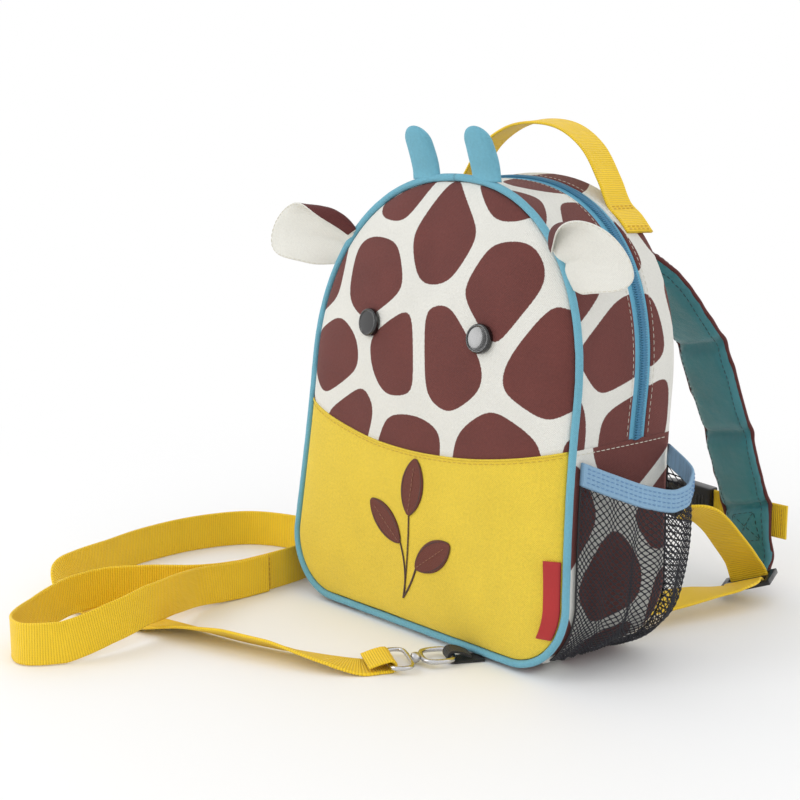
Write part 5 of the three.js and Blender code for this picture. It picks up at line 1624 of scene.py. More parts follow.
def ear_grid(mirror):
    """Front face of an ear: a leaf of cloth whose upper edge is turned down near its root."""
    along = np.sin(np.linspace(0, math.pi / 2, EAR_ROWS))[:, None]
    side = spread(EAR_COLUMNS)[None, :]
    tip = 1 - (np.clip(along - EAR_TIP, 0, 1) / (1 - EAR_TIP)) ** 2
    opened = lerp(EAR_ROOT, 1, np.sin(math.pi / 2 * np.clip(along / EAR_TIP, 0, 1)))
    half = EAR_HALF_WIDTH * opened * np.maximum(tip, 0.0004) ** 0.58
    flap = smoothstep(side, EAR_CREASE, EAR_CREASE + 0.35) * smoothstep(along, 0.85, 0.1)
    hollow = EAR_HOLLOW * side * np.sin(math.pi * np.clip(along, 0, 1)) ** 0.5
    angle = EAR_TURN * flap + hollow
    step = np.diff(side, axis=1, prepend=side[:, :1] - (side[:, 1:2] - side[:, :1]))
    rise = np.cumsum(np.cos(angle) * step * half, axis=1)
    ahead = np.cumsum(np.sin(angle) * step * half, axis=1)
    rise = rise - rise[:, EAR_MIDDLE]
    ahead = ahead - ahead[:, EAR_MIDDLE]
    s = EAR_HEIGHT + rise + EAR_LENGTH * (EAR_RISE * along - EAR_DROOP * along**2 - EAR_SET)
    root = half_width_at(s, PIPING_RADIUS)
    reach = lerp(root, half_width_at(np.array([EAR_HEIGHT]), 0.0) + EAR_LENGTH, along)
    forward = EAR_FORWARD * np.sin(math.pi / 2 * along)
    pleat = EAR_PLEAT * np.exp(-(((side + 0.1 + 0.2 * along) / 0.16) ** 2)) * smoothstep(along, 0.6, 0)
    depth = front_edge(EAR_HEIGHT) - forward - ahead + pleat
    return stack(mirror * reach, depth, height_of(s)), stack(reach, s, 0.0), side, along


def build_ears():
    """Cream in front and brown behind, a little stuffed, flat at the sewn edge."""
    for name, mirror in SIDES:
        middle, cloth, side, along = ear_grid(mirror)
        fill = (1 - np.abs(side) ** 4) * smoothstep(along, 1.02, 0.72)
        facing = grid_normals(middle)
        facing = facing * np.sign(facing[:, EAR_MIDDLE, 1:2])
        half = facing * (lerp(EAR_EDGE, EAR_THICKNESS, fill) / 2)[..., None]
        body = sheet_body(middle - half, middle + half, cloth)
        made = piece(
            f"ear_{name}_cloth", body, CREAM, (f"ear_{name}",), backs=(BROWN, body[3]),
        )
        stitch_ear(middle, half)


def stitch_ear(middle, half):
    """Topstitching just inside the ear's edge."""
    last = EAR_ROWS - 1 - EAR_SEAM
    ring = [(i, EAR_SEAM) for i in range(1, last)]
    ring += [(last, j) for j in range(EAR_SEAM, EAR_COLUMNS - EAR_SEAM)]
    ring += [(i, EAR_COLUMNS - 1 - EAR_SEAM) for i in range(last - 1, 0, -1)]
    line = np.array([middle[i, j] - half[i, j] * 1.05 for i, j in ring])
    stitch_line("cream", line, np.array([-half[i, j] for i, j in ring]), **EAR_STITCH)


def horn_seat(x):
    spots = np.abs(x + np.array([-0.5, 0.0, 0.5]) * HORN_WIDTH)
    arch = OUTLINE_S >= SPRING_LINE
    heights = np.interp(spots, OUTLINE_X[arch][::-1], OUTLINE_S[arch][::-1])
    return heights.max() + GAP


def build_horns():
    """Stuffed tabs of cloth sewn in the top seam."""
    for name, side in SIDES:
        x = side * HORN_X
        seat = horn_seat(x)
        up = 1 - (1 - np.linspace(0, 1, 40)) ** 1.5 * (1 + HORN_TUCK)
        cap = np.sqrt(np.clip(1 - (np.clip(up - HORN_CAP, 0, 1) / (1 - HORN_CAP)) ** 2, 0.002, 1))
        nod = HORN_NOD * np.maximum(up, 0) ** 1.5
        stations = {
            "place": stack(
                x - HORN_TILT * up, front_edge(seat) - nod, height_of(seat) + HORN_HEIGHT * up,
            ),
            "side": np.tile(RIGHTWARD, (len(up), 1)),
            "normal": np.tile(BACKWARD, (len(up), 1)),
            "width": HORN_WIDTH * (1 - HORN_TAPER * up) * cap,
            "thickness": HORN_THICKNESS * np.minimum(read(HORN_SECTIONS, "up", "thickness", up), cap),
            "along": HORN_HEIGHT * up,
        }
        body = swept_body(stations, rounded_section(2.6, 28))
        points = body[0]
        points[:, 1] += 0.25 * soft_noise(points[:, 0] / 2.2, points[:, 2] / 3.0, x)
        made = piece(f"horn_{name}_cloth", body, BLUE, (f"horn_{name}",))


def back_face(proud, rows, columns):
    """Grid over the back, which is proud in its middle."""
    inset = GUSSET_INSET + BACK_ROUND - BACK_TUCK
    foot = BACK_ROUND - FRONT_LIFT - BACK_TUCK
    top = BAG_HEIGHT - inset
    share = np.linspace(-1, 1, columns)[None, :]
    s = lerp(foot, top, np.sin(np.linspace(0, 1, rows) * math.pi / 2 * LAST_ROW))[:, None]
    edge = (1 - np.abs(share) ** 6) * (1 - np.abs(2 * (s - foot) / (top - foot) - 1) ** 6)
    return stack(share * half_width_at(s, inset), back_edge(s) + proud * edge, height_of(s))


def back_panel_shape():
    outer = back_face(BACK_CROWN, 50, 44)
    inner = back_face(0.0, 50, 44) - (0.0, BACK_PAD, 0.0)
    return object_from("back_panel_pad", sheet_body(outer, inner, np.zeros_like(outer)))


def finish_padding(made, material, node_name, cloth):
    made.data.materials.clear()
    made.data.materials.append(material)
    write_cloth(made.data, cloth)
    made.data.shade_smooth()
    ridden(made, (node_name,))


QUILT_LINES = (-28, 28)
QUILT_SPREAD = 2.2
QUILT_DEPTH = 1.7
QUILT_BORDER = 22
BACK_VOXEL = 4.5
BACK_SWELL = 2.2
STRAP_VOXEL = 2.6
STRAP_SWELL = 1.6
STRAP_EASE = 0.6
STRAP_SLIMMING = 0.8
STRAP_PUFF = 0.8
STRAP_RIPPLE = 0.3
CREASE_SLANT = 0.14
CREASE_SPREAD = 2.6
CREASE_DEPTH = 2.2
CREASE_BEHIND = 0.5
STRAP_BACK = 0.9
EDGE_RADIUS = 1.1
EDGE_SINK = 0.35
EDGE_STITCHING = 3.2


def quilt_back(made):
    """Sewn channels pressed into the back pad, after its swelling."""
    places = vertex_array(made.data) / MM
    x, z = places[:, 0], places[:, 2]
    outer = places[:, 1] > back_edge(z - FRONT_LIFT) - BACK_PAD / 2
    width = half_width_at(np.clip(z - FRONT_LIFT, 0, BAG_HEIGHT), 0.0)
    press = np.zeros(len(places))
    for line in QUILT_LINES:
        press = np.maximum(press, np.exp(-(((x - line) / QUILT_SPREAD) ** 2)))
    border = np.abs(width - np.abs(x) - QUILT_BORDER)
    press = np.maximum(press, 0.8 * np.exp(-((border / QUILT_SPREAD) ** 2)) * (z > QUILT_BORDER))
    places[:, 1] -= np.where(outer, QUILT_DEPTH * press, 0.0)
    write_places(made.data, places * MM)
    for x in QUILT_LINES:
        height = np.linspace(30, 200, 90)
        line = stack(x, back_edge(height - FRONT_LIFT) + BACK_PAD, height)
        stitch_line("cream", *laid_on(made, line))


def build_back_seam():
    """Covered cord all round the back, where the pad meets the sides."""
    distance = np.linspace(-HALF_LENGTH, HALF_LENGTH, 420)
    route = back_corner_point(distance, np.ones_like(distance)) + (0.0, 0.2, 0.0)
    tube("back_seam_cord", calm(route, 6), BACK_CORD, CREAM, 12)


def build_padding():
    """Back pad and shoulder straps."""
    shapes = [remeshed(back_panel_shape(), BACK_VOXEL)]
    straps = []
    for name, mirror in SIDES:
        stations = strap_stations(mirror)
        slim = dict(stations)
        slim["width"] = stations["width"] + STRAP_EASE
        slim["thickness"] = stations["thickness"] * STRAP_SLIMMING
        shape = object_from(f"shoulder_strap_{name}_pad", swept_body(slim, rounded_section(3.2, 28)))
        shapes.append(remeshed(shape, STRAP_VOXEL))
        straps.append((name, stations))
    swell(shapes, [BACK_SWELL, STRAP_SWELL, STRAP_SWELL])
    for shape in shapes:
        subdivided(shape)
    places = vertex_array(shapes[0].data) / MM
    finish_padding(shapes[0], FOAM, "back_panel", places[:, [0, 2, 1]])
    quilt_back(shapes[0])
    for shape, (name, stations) in zip(shapes[1:], straps):
        finish_strap(shape, name, stations)


def finish_strap(shape, name, stations):
    """Satin towards the wearer and canvas outside, creased where the strap bends."""
    places = vertex_array(shape.data) / MM
    cloth, spots = ribbon_coordinates(stations, places)
    sign = 1.0 if np.mean(stations["normal"][:, 1]) > 0 else -1.0
    off = cloth[:, 2] * sign
    crease_at = np.linspace(0, 1, len(STRAP_FOLDS))[STRAP_FOLDS > 0.5]
    share = np.interp(cloth[:, 0], stations["along"], stations["share"])
    reach = stations["along"][-1]
    press = np.zeros(len(places))
    for spot in crease_at:
        slant = CREASE_SLANT * cloth[:, 1]
        press += np.exp(-((((share - spot) * reach + slant) / CREASE_SPREAD) ** 2))
    puff = STRAP_PUFF * (1 - press) * (1 - np.minimum(np.abs(cloth[:, 1]) / (STRAP_WIDTH / 2), 1) ** 2)
    push = np.where(off < 0, CREASE_DEPTH * press - puff, CREASE_BEHIND * press) * np.sign(cloth[:, 2])
    ripple = STRAP_RIPPLE * soft_noise(cloth[:, 0] / 8, cloth[:, 1] / 7, 3.0)
    places -= stations["normal"][spots] * (push + ripple)[:, None]
    write_places(shape.data, places * MM)
    finish_padding(shape, TEAL, f"shoulder_strap_{name}", cloth)
    shape.data.materials.append(BROWN)
    for polygon in shape.data.polygons:
        if off[list(polygon.vertices)].mean() > STRAP_BACK:
            polygon.material_index = 1
    build_strap_edges(shape, name, stations, sign)


def laid_on(made, line, lift=0.1):
    """A line moved to the nearest places on a piece, with the normals there."""
    places = vertex_array(made.data)
    tree = BVHTree.FromPolygons(places.tolist(), [list(face.vertices) for face in made.data.polygons])
    spots = []
    normals = []
    for point in line:
        spot, normal, _, _ = tree.find_nearest(Vector(point) * MM)
        spots.append(np.array(spot) / MM + np.array(normal) * lift)
        normals.append(np.array(normal))
    return np.array(spots), np.array(normals)


def strap_stitches(made, stations, along, across, sign):
    """A row of stitches on each face of a strap."""
    for face, colour in ((-1, "teal"), (1, "brown")):
        line = ribbon_point(stations, along, across, face * sign * STRAP_THICKNESS)
        stitch_line(colour, *laid_on(made, line))


def build_strap_edges(made, name, stations, sign):
    """Bound edges, the sewn rows beside them and the box where the lower webbing's loop is sewn."""
    for side, edge in (("inner", -1), ("outer", 1)):
        along = np.linspace(1.5, stations["along"][-1] - 3, 260)
        width = np.interp(along, stations["along"], stations["width"]) / 2
        beside = ribbon_point(stations, along, edge * (width + 2), 0.4 * sign)
        route = calm(laid_on(made, beside, -EDGE_SINK)[0], 12)
        tube(f"strap_{name}_{side}_edge", route, EDGE_RADIUS, BROWN, 10)
        strap_stitches(made, stations, along, edge * (width - EDGE_STITCHING), sign)
    end = stations["along"][-1]
    low, high = end - STRAP_BOX_START, end - STRAP_BOX_END
    corners = ((low, -1), (high, -1), (high, 1), (low, 1), (low, -1), (high, 1), (low, 1), (high, -1))
    for start, stop in zip(corners[:-1], corners[1:]):
        share = np.linspace(0, 1, 24)
        along = lerp(start[0], stop[0], share)
        across = lerp(start[1], stop[1], share) * STRAP_BOX_WIDTH / 2
        strap_stitches(made, stations, along, across, sign)


# Webbing


def webbing_piece(name, stations, node_name, material=WEBBING):
    return piece(name, swept_body(stations, webbing_section()), material, (node_name,))


def hem_stitches(stations, along, half, face):
    """One row of stitches across webbing."""
    corners = [(along, -half), (along, half)]
    ribbon_stitches("gold", stations, corners, face * WEBBING_THICKNESS / 2, HEM_SPACE)


def build_handle():
    """Webbing arched over the top, its ends sewn flat to the rear strip."""
    arch = OUTLINE_S >= SPRING_LINE
    seat = np.interp(-HANDLE_HALF_SPAN, -OUTLINE_X[arch], OUTLINE_LENGTHS[arch])
    depth = REAR_START + HANDLE_WIDTH / 2 + HANDLE_MARGIN
    proud = GAP + WEBBING_THICKNESS / 2
    downs = np.array([HANDLE_PATCH, HANDLE_PATCH / 2, 0.0])
    sewn = gusset_point(seat - downs, np.full(3, float(depth)), proud)
    leave = sewn[2]
    top = height_of(BAG_HEIGHT) + HANDLE_RISE
    raised = stack(
        leave[0] * HANDLE_ROUTE["out"],
        leave[1] + HANDLE_WIDTH * HANDLE_ROUTE["back"],
        lerp(leave[2], top, HANDLE_ROUTE["up"]),
    )
    points = np.vstack([sewn, raised])
    left = points[-2::-1] * (-1.0, 1.0, 1.0)
    leaned = np.array([0.0, math.cos(HANDLE_LEAN), math.sin(HANDLE_LEAN)])
    stations = stations_along(
        np.vstack([points, left]), 10, always(leaned), HANDLE_WIDTH, WEBBING_THICKNESS,
    )
    webbing_piece("handle_webbing", stations, "carry_handle")
    whole = stations["along"][-1]
    high = ribbon_point(stations, [10.0], 0.0, 1.0)[0] - ribbon_point(stations, [10.0], 0.0, 0.0)[0]
    face = math.copysign(1, high[0])
    half = HANDLE_WIDTH / 2 - HEM_MARGIN
    for row in HANDLE_ROWS:
        for along in (row, whole - row):
            hem_stitches(stations, along, half, face)


def lower_stations(mirror):
    """Stations of the lower webbing: its foot, its way through the ladder lock, and its tail."""
    seat = LOCK_THICKNESS / 2 + WEBBING_THICKNESS / 2 + GAP
    threading = np.array([
        lock_place(along * LOCK_LENGTH, off * seat)
        for along, off in zip(LOCK_THREADING["along"], LOCK_THREADING["off"])
    ])
    foot = np.array([LOWER_WEBBING_X, BAG_DEPTH / 2 + BACK_PAD, 0.0])
    way = threading[0] - foot
    way[2] = 0
    low = foot + way * LOWER_WEBBING_ROUTE["along"][:, None]
    low[:, 2] = LOWER_WEBBING_ROUTE["up"] * WEBBING_WIDTH
    lift = np.radians(LOWER_WEBBING_ROUTE["lift"])
    low_sides = stack(np.cos(lift), 0.0, np.sin(lift))
    step = stack(-TAIL_ROUTE["inward"], -TAIL_ROUTE["back"], TAIL_ROUTE["up"])
    tail = threading[-1] + step * TAIL_LENGTH
    turned = unit(np.array(TAIL_SIDE))
    shares = ((np.arange(len(tail)) + 1) / len(tail)) ** TAIL_TURN
    tail_sides = unit(lerp(LOCK_ACROSS, turned, shares[:, None]))
    route = np.vstack([low, threading, tail])
    sides = np.vstack([low_sides, np.tile(LOCK_ACROSS, (len(threading), 1)), tail_sides])
    stations = stations_along(
        route, 7, lambda share, heading: at_share(sides, share), WEBBING_WIDTH, WEBBING_THICKNESS,
    )
    return mirrored_stations(stations, mirror)


def build_lower_straps():
    for name, mirror in SIDES:
        stations = lower_stations(mirror)
        webbing_piece(f"lower_webbing_{name}_weave", stations, f"lower_webbing_{name}")
        end = stations["along"][-1]
        for back in TAIL_HEMS:
            for face in (-1, 1):
                hem_stitches(stations, end - back, TAIL_HEM_HALF, face)
        refined(f"ladder_lock_{name}", f"ladder_lock_{name}_moulding", PLASTIC, 0.7)


def refined(node_name, name, material, bevel=0.0, levels=0):
    """A node's own shape with its edges rounded or its wire smoothed."""
    shape = bmesh.new()
    shape.from_mesh(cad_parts[node_name].data)
    bmesh.ops.remove_doubles(shape, verts=shape.verts, dist=1e-6)
    if bevel:
        bmesh.ops.dissolve_limit(
            shape, angle_limit=math.radians(2), verts=shape.verts, edges=shape.edges,
        )
    bmesh.ops.recalc_face_normals(shape, faces=shape.faces)
    mesh = bpy.data.meshes.new(name)
    shape.to_mesh(mesh)
    shape.free()
    mesh.materials.append(material)
    mesh.shade_smooth()
    made = placed(name, mesh)
    if bevel:
        modifier = made.modifiers.new("rounded", "BEVEL")
        modifier.width = bevel * MM
        modifier.segments = 3
        modifier.limit_method = "ANGLE"
        modifier.angle_limit = math.radians(30)
        modifier.harden_normals = True
    if levels:
        modifier = made.modifiers.new("smoothed", "SUBSURF")
        modifier.levels = levels
        modifier.render_levels = levels
    ridden(made, (node_name,))


def build_chest_strap():
    """Webbing each side of the fastened buckle, and grips on the buckle."""
    for name, _ in SIDES:
        low, high = (np.array(corner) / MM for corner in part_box(f"chest_webbing_{name}"))
        middle = (low + high) / 2
        route = stack(np.linspace(low[0], high[0], 5), middle[1], middle[2])
        stations = stations_along(
            route, 12, always(UPWARD), CHEST_WEBBING_WIDTH, WEBBING_THICKNESS,
        )
        webbing_piece(f"chest_webbing_{name}_weave", stations, f"chest_webbing_{name}")
        for hem in CHEST_HEMS:
            along = hem if name == "left" else stations["along"][-1] - hem
            for face in (-1, 1):
                hem_stitches(stations, along, CHEST_HEM_HALF, face)
    bars = []
    for half in ("socket", "plug"):
        node_name = f"chest_buckle_{half}"
        refined(node_name, f"{node_name}_moulding", PLASTIC, 0.9)
        low, high = (np.array(corner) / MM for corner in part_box(node_name))
        at = lerp(low[0], high[0], np.array(GRIP_SHARES[half]))
        z = (low[2] + high[2]) / 2
        for y, facing in ((low[1] + 0.1, -1.0), (high[1] - 0.1, 1.0)):
            starts = stack(at, y, z - GRIP_REACH)
            ends = stack(at, y, z + GRIP_REACH)
            normals = np.tile((0.0, facing, 0.0), (len(at), 1))
            bars.append(capsules(starts, ends, GRIP_RADIUS, normals, sides=10))
    piece("buckle_grips", joined(bars), PLASTIC)


# Rein


HOOK_HEADING = np.array([math.cos(HOOK_YAW), math.sin(HOOK_YAW), 0.0])
HOOK_ACROSS = np.array([-HOOK_HEADING[1], HOOK_HEADING[0], 0.0])
HOOK_LEVEL = WEBBING_THICKNESS + HOOK_WIRE + 2 * GAP
STEM_START = HOOK_LENGTH + HOOK_WIRE + GAP
RING_START = STEM_START + HOOK_STEM + RING_WIRE + 2 * GAP
RING_BAR = RING_START + RING_LENGTH


def hook_place(along, across, height):
    """A place along the line of hook, swivel and ring."""
    origin = np.array([HOOK_X, -BAG_DEPTH / 2 - HOOK_AHEAD, height])
    return origin + HOOK_HEADING * along + HOOK_ACROSS * across


def folded_round(bar, wire, low, high, direction, thickness):
    """Route of webbing folded round a bar, from its lower end to its upper one."""
    radius = wire + thickness / 2 + 2 * GAP
    flat = thickness / 2 + FLOOR_GAP
    points = [hook_place(bar - direction * low, 0, flat), hook_place(bar - direction * low * 0.4, 0, flat)]
    for i in range(7):
        turn = math.pi * (i / 6 - 0.5)
        reach = bar + direction * radius * math.cos(turn)
        points.append(hook_place(reach, 0, HOOK_LEVEL + radius * math.sin(turn)))
    points.append(hook_place(bar - direction * high * 0.45, 0, HOOK_LEVEL + radius * 0.7))
    points.append(hook_place(bar - direction * high, 0, 3 * flat + 3 * GAP))
    return np.array(points)


def floor_route(rows):
    """Route along the floor, from the ring, for rows of a table."""
    ring = hook_place(RING_BAR, 0, 0)
    roll = np.radians(rows["roll"])
    upright = np.cos(roll) * WEBBING_WIDTH / 2 + np.sin(roll) * WEBBING_THICKNESS / 2
    beside = lerp(ring[0], -BASE_WIDTH / 2, np.minimum(rows["left"], 1))
    return stack(
        beside - REIN_REACH * np.maximum(rows["left"] - 1, 0),
        ring[1] - REIN_AHEAD * rows["ahead"],
        upright + rows["lift"] * WEBBING_WIDTH + FLOOR_GAP,
    )


def rolled(rolls):
    """A ribbon's width direction from upright at 0 degrees to flat at 90."""

    def side_of(share, heading):
        roll = np.radians(at_share(rolls, share))[:, None]
        level = unit(np.cross(UPWARD, heading))
        return np.array(UPWARD) * np.cos(roll) + level * np.sin(roll)

    return side_of


def settled(stations, lifts, start):
    """Lays a ribbon's lower edge on the floor, or lifted by some of its width, from a share on."""
    held = stations["share"] >= start
    share = (stations["share"] - start) / (1 - start)
    low = np.abs(stations["side"][:, 2]) * stations["width"]
    low = low + np.abs(stations["normal"][:, 2]) * stations["thickness"]
    height = low / 2 + at_share(lifts, np.clip(share, 0, 1)) * WEBBING_WIDTH + FLOOR_GAP
    stations["place"][:, 2] = np.where(held, height, stations["place"][:, 2])
    stations["heading"] = unit(np.gradient(stations["place"], axis=0))
    return stations


def rein_stations():
    fold = folded_round(RING_BAR, RING_WIRE, REIN_FOLD_LOW, REIN_FOLD_HIGH, -1, WEBBING_THICKNESS)[::-1]
    route = np.vstack([fold, floor_route(REIN_ROUTE)])
    landed = (len(fold) - 1) / (len(route) - 1)
    turn = rolled(np.concatenate([np.full(len(fold), 90.0), REIN_ROUTE["roll"]]))

    def side_of(share, heading):
        return np.where((share < landed)[:, None], HOOK_ACROSS, turn(share, heading))

    def width_of(share):
        return lerp(REIN_FOLD_WIDTH, WEBBING_WIDTH, smoothstep(share, landed * 0.8, landed * 1.2))

    stations = stations_along(route, 12, side_of, width_of, WEBBING_THICKNESS)
    return settled(stations, np.concatenate([[0.0], REIN_ROUTE["lift"]]), landed)


def build_rein():
    stations = rein_stations()
    webbing_piece("rein_weave", stations, "rein_webbing")
    loop = stations_along(
        floor_route(HAND_LOOP_ROUTE), 14, rolled(HAND_LOOP_ROUTE["roll"]), WEBBING_WIDTH,
        WEBBING_THICKNESS,
    )
    loop = settled(loop, HAND_LOOP_ROUTE["lift"], 0.0)
    webbing_piece("hand_loop_weave", loop, "rein_hand_loop")
    end = stations["along"][-1]
    for face in (-1, 1):
        box_stitches(
            "gold", stations, end - REIN_BOX_START, end - REIN_BOX_END, REIN_BOX_HALF,
            face * WEBBING_THICKNESS / 2,
        )
    box_stitches("gold", stations, *RING_BOX, RING_BOX_HALF, WEBBING_THICKNESS / 2)


def build_hook():
    """Wire hook, swivel barrel and ring, with the black loop that holds them to the bag."""
    refined("rein_hook", "rein_hook_wire", STEEL, levels=2)
    refined("rein_ring", "rein_ring_wire", STEEL, levels=2)
    along = np.linspace(-0.3, HOOK_STEM + 0.3, 15)
    swell_at = HOOK_WIRE * (1.25 + 0.55 * np.sin(math.pi * np.linspace(0, 1, len(along))) ** 0.5)
    stations = {
        "place": np.array([hook_place(STEM_START + a, 0, HOOK_LEVEL) for a in along]),
        "side": np.tile(HOOK_ACROSS, (len(along), 1)),
        "normal": np.tile(UPWARD, (len(along), 1)),
        "width": 2 * swell_at,
        "thickness": 2 * swell_at,
        "along": along,
    }
    swivel = swept_body(stations, round_section(24))
    piece("rein_swivel", swivel, STEEL, ("rein_hook_stem",))
    route = folded_round(0, HOOK_WIRE, ANCHOR_TUCK, ANCHOR_RETURN, 1, ANCHOR_THICKNESS)
    stations = stations_along(route, 9, always(HOOK_ACROSS), ANCHOR_WIDTH, ANCHOR_THICKNESS)
    webbing_piece("anchor_weave", stations, "anchor_loop", BLACK_WEBBING)


# Trim


BUTTON_PROFILE = np.array([
    (0.0, 0.0),
    (BUTTON_RADIUS, 0.0),
    (BUTTON_RADIUS, 1.2),
    (7.3, 2.2),
    (6.9, 2.9),
    (6.4, 3.05),
    (6.0, 2.8),
    (5.85, 2.6),
    (5.6, 2.62),
    (4.6, 2.69),
    (3.2, 2.75),
    (1.6, 2.79),
    (0.0, 2.8),
])
BUTTON_SIDES = 48
BUTTON_SEAT = 6.0
BUTTON_LIFT = 0.25


def build_buttons():
    """Domed buttons with a raised rim, set square to the panel where they sit."""
    profile = BUTTON_PROFILE
    turn = full_turn(BUTTON_SIDES)
    for name, side in SIDES:
        x, z = side * BUTTON_X, np.array(BUTTON_Z)
        spot = panel_point(np.array(x), z)
        across = unit(panel_point(x + BUTTON_SEAT, z) - panel_point(x - BUTTON_SEAT, z))
        up = unit(
            panel_point(np.array(x), BUTTON_Z + BUTTON_SEAT)
            - panel_point(np.array(x), BUTTON_Z - BUTTON_SEAT)
        )
        outward = unit(np.cross(across, up))
        up = np.cross(outward, across)
        inner = profile[1:-1]
        ring = (
            across[None, None] * (inner[:, 0, None] * np.cos(turn))[..., None]
            + up[None, None] * (inner[:, 0, None] * np.sin(turn))[..., None]
            + outward[None, None] * inner[:, 1, None, None]
        )
        points = np.vstack([ring.reshape(-1, 3), [profile[0, 1] * outward, profile[-1, 1] * outward]])
        points = points + spot + outward * BUTTON_LIFT
        quads, *caps = ring_quads(len(inner), BUTTON_SIDES)
        faces = quads.tolist()
        for hub, cap in enumerate(caps, len(points) - len(caps)):
            faces += [[hub, int(a), int(b)] for a, b in zip(cap, np.roll(cap, -1))]
        piece(f"button_{name}_dome", (points, faces, points), BUTTON, (f"button_{name}",))


def build_tag():
    """Blank folded tape sewn in the side seam."""
    up = np.linspace(0, 1, 40)[:, None]
    across = np.linspace(0, 1, 14)[None, :]
    s = TAG_FOOT + TAG_HEIGHT * up + 0 * across
    x = half_width_at(s, PANEL_INSET) - GAP - TAG_WIDTH * (1 - across)
    curl = TAG_CURL * (1 - across) ** 2 + TAG_WAVE * np.sin(up * 7) * (1 - across)
    outer = panel_point(x, s, TAG_SEAT + TAG_THICKNESS + curl)
    inner = panel_point(x, s, TAG_SEAT + curl)
    made = piece(
        "tag_tape", sheet_body(outer, inner, stack(x, s, 0.0)), TAG, ("side_tag",),
    )


def leaf_place(leaf, reach, side):
    """A place on a leaf: reach runs from its foot to its tip, side from edge to edge."""
    heading = math.radians(leaf["heading"])
    half = leaf["width"] * LEAF_WIDTH * np.maximum(1 - reach * reach, 0) ** 0.75 + LEAF_TIP
    along = reach * leaf["length"] * LEAF_LENGTH
    off = side * half
    x = leaf["across"] * BAG_WIDTH / 2 + along * math.cos(heading) - off * math.sin(heading)
    s = leaf["up"] * PANEL_SEAM_CENTRE + along * math.sin(heading) + off * math.cos(heading)
    return x, s


def build_leaves():
    """Felt leaves with satin-stitched edges and veins, on one stitched stem."""
    for leaf in LEAVES:
        reach = spread(41)[:, None] * 0.985
        side = np.linspace(-1, 1, 15)[None, :]
        x, s = leaf_place(leaf, reach, side)
        outer = panel_point(x, s, PATCH_SEAT + PATCH_THICKNESS)
        body = sheet_body(outer, panel_point(x, s, PATCH_SEAT), stack(x, s, 0.0))
        name = leaf["name"]
        piece(f"leaf_{name}_felt", body, FELT, (f"leaf_patch_{name}",))
        for edge in (-1, 1):
            spots = np.linspace(-0.97, 0.97, 66)
            starts = panel_point(*leaf_place(leaf, spots, edge * 0.84), PATCH_THICKNESS + 0.2)
            ends = panel_point(*leaf_place(leaf, spots, edge * 1.06), PATCH_SEAT)
            stitch("brown", starts, ends, np.tile(FORWARD, (len(spots), 1)), LEAF_THREAD_RADIUS)
        vein = panel_point(*leaf_place(leaf, np.linspace(-0.9, 0.72, 40), 0.0), PATCH_THICKNESS + 0.25)
        stitch_line("tan", vein, FORWARD, **VEIN_STITCH)
    build_stem()


STEM_FOOT = np.array([-4.0, 18.0])
STEM_HALF_WIDTH = 0.55
STEM_SLANT = 0.35


def build_stem():
    """Satin stitches that join each leaf to the sprig's foot."""
    for leaf in LEAVES:
        tip = np.array(leaf_place(leaf, np.array(-1.0), np.array(0.0)))
        share = np.linspace(0, 1, 60)[:, None]
        bend = np.array([2.5 + 6.0 * leaf["across"], 0.52 * tip[1] + 8.0])
        curve = STEM_FOOT * (1 - share) ** 2 + 2 * bend * share * (1 - share) + tip * share**2
        heading = unit(np.gradient(curve, axis=0))
        off = np.stack([-heading[:, 1], heading[:, 0]], -1) * STEM_HALF_WIDTH
        starts = curve + off - heading * STEM_SLANT
        ends = curve - off + heading * STEM_SLANT
        stitch(
            "brown", panel_point(starts[:, 0], starts[:, 1], 0.25),
            panel_point(ends[:, 0], ends[:, 1], 0.25),
            np.tile(FORWARD, (len(curve), 1)), STEM_THREAD_RADIUS,
        )


# Side pockets


def net_surface(mirror, across, up):
    """Middle of the net, slack in long folds and drawn together at its foot."""
    fold = NET_FOLD * np.sin(across * 19 + 2.2 * up + 0.6) * np.sin(math.pi * np.clip(up, 0, 1)) ** 0.7
    gather = NET_GATHER * np.sin(across * 60) * smoothstep(up, 0.22, 0.0)
    ease = np.sin(math.pi * across) ** 0.5
    proud = (fold + gather) * ease - NET_THICKNESS / 2
    return pocket_point(mirror, across, up, -BINDING_HEIGHT - GAP, proud)


def build_net(name, mirror):
    """Knitted net of diamond cells, each strand a body of its own."""
    starts = []
    ends = []
    for i in range(NET_CELLS_ACROSS):
        for j in range(i % 2, NET_CELLS_UP + 1, 2):
            for step in (-1, 1):
                if 0 <= j + step <= NET_CELLS_UP:
                    starts.append((i, j))
                    ends.append((i + 1, j + step))
    spots = []
    for corners in (np.array(starts, float), np.array(ends, float)):
        across = np.clip(corners[:, 0] / NET_CELLS_ACROSS, 0.001, 0.999)
        up = (corners[:, 1] / NET_CELLS_UP) ** 1.25
        crowded = NET_CROWDING * np.sin(math.pi * across) ** 0.5 * (1 - 0.4 * up)
        across = across + crowded * np.sin(across * 33 + 2.6 * up + 1.4 * np.sin(4 * up))
        spots.append(net_surface(mirror, np.clip(across, 0.0, 1.0), up))
    outward = np.tile((float(mirror), 0.0, 0.0), (len(starts), 1))
    strands = light_strands(spots[0], spots[1], NET_STRAND, outward)
    made = piece(f"net_{name}_strands", strands, NET, (f"pocket_net_{name}",))
    share = np.linspace(0, 1, 60)
    grid = net_surface(mirror, share[None, :], share[:, None])
    for edge, route in (
        ("foot", net_surface(mirror, share, np.zeros(60))),
        ("front", net_surface(mirror, np.zeros(60), share)),
        ("back", net_surface(mirror, np.ones(60), share)),
    ):
        tube(f"net_{name}_{edge}_seam", route, NET_SEAM, BLACK_WEBBING, 8)


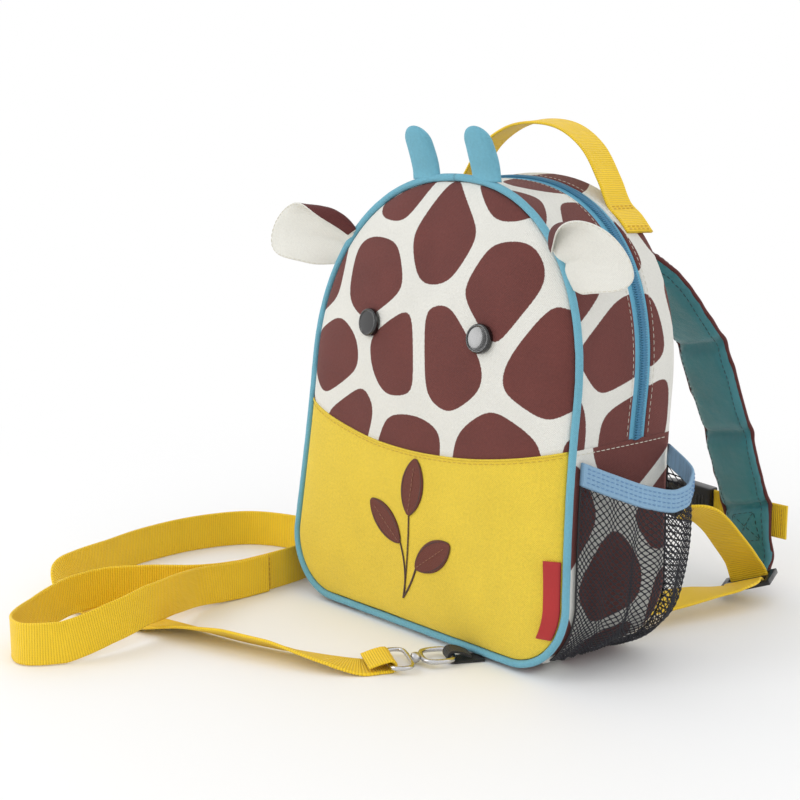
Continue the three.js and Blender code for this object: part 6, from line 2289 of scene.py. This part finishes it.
def light_strands(starts, ends, radius, normals):
    """Four-sided strands that thin at their ends."""
    heading, first, second = strand_axes(starts, ends, normals)
    starts = starts - heading * radius * 0.4
    ends = ends + heading * radius * 0.4
    layers = []
    for share, size in ((0.0, 1.25), (0.5, 0.8), (1.0, 1.25)):
        middle = lerp(starts, ends, share)
        for one, two in ((1, 0), (0, 1), (-1, 0), (0, -1)):
            layers.append(middle + (first * one * 0.7 + second * two) * radius * size)
    points = np.stack(layers, 1)
    quads = np.vstack(ring_quads(3, 4))
    faces = (quads[None] + np.arange(len(starts))[:, None, None] * len(layers)).reshape(-1, 4)
    flat = points.reshape(-1, 3)
    return flat, faces, flat


def binding_ripple(across):
    return BINDING_RIPPLE * np.sin(across * 58) * np.sin(math.pi * across)


def build_binding(name, mirror):
    """Elastic folded over the net's top edge, with rows of stitches."""
    across = np.linspace(0, 1, 121)[None, :]
    up = np.linspace(0, 1, 15)[:, None]
    ripple = binding_ripple(across) * (1 - up * 0.4)
    outer_off = BINDING_THICKNESS - NET_THICKNESS + ripple + 0.25 * np.sin(math.pi * up)
    outer = pocket_point(mirror, across, 1.0, -BINDING_HEIGHT * (1 - up), outer_off)
    inner = pocket_point(mirror, across, 1.0, -BINDING_HEIGHT * (1 - up), ripple - NET_THICKNESS)
    body = sheet_body(outer, inner, stack(across * 80, up * BINDING_HEIGHT, 0.0))
    piece(
        f"binding_{name}_elastic", body, BINDING, (f"pocket_binding_{name}",),
    )
    share = np.linspace(0.02, 0.97, 150)
    for height in BINDING_ROWS:
        off = BINDING_THICKNESS - NET_THICKNESS + binding_ripple(share) * (1 - height * 0.4)
        line = pocket_point(mirror, share, 1.0, -BINDING_HEIGHT * (1 - height), off + 0.35)
        stitch_line("blue", line, (float(mirror), -0.3, 0.0), **BINDING_STITCH)


def build_pockets():
    for name, mirror in SIDES:
        build_binding(name, mirror)
        build_net(name, mirror)


def build_threads():
    for colour, bodies in THREADS.items():
        piece(f"stitching_{colour}", joined(bodies), THREAD_MATERIALS[colour])


build_stage()
build_front()
build_piping()
build_arch()
build_base()
build_padding()
build_back_seam()
build_ears()
build_horns()
build_handle()
build_lower_straps()
build_chest_strap()
build_rein()
build_hook()
build_buttons()
build_tag()
build_leaves()
build_pockets()
build_threads()
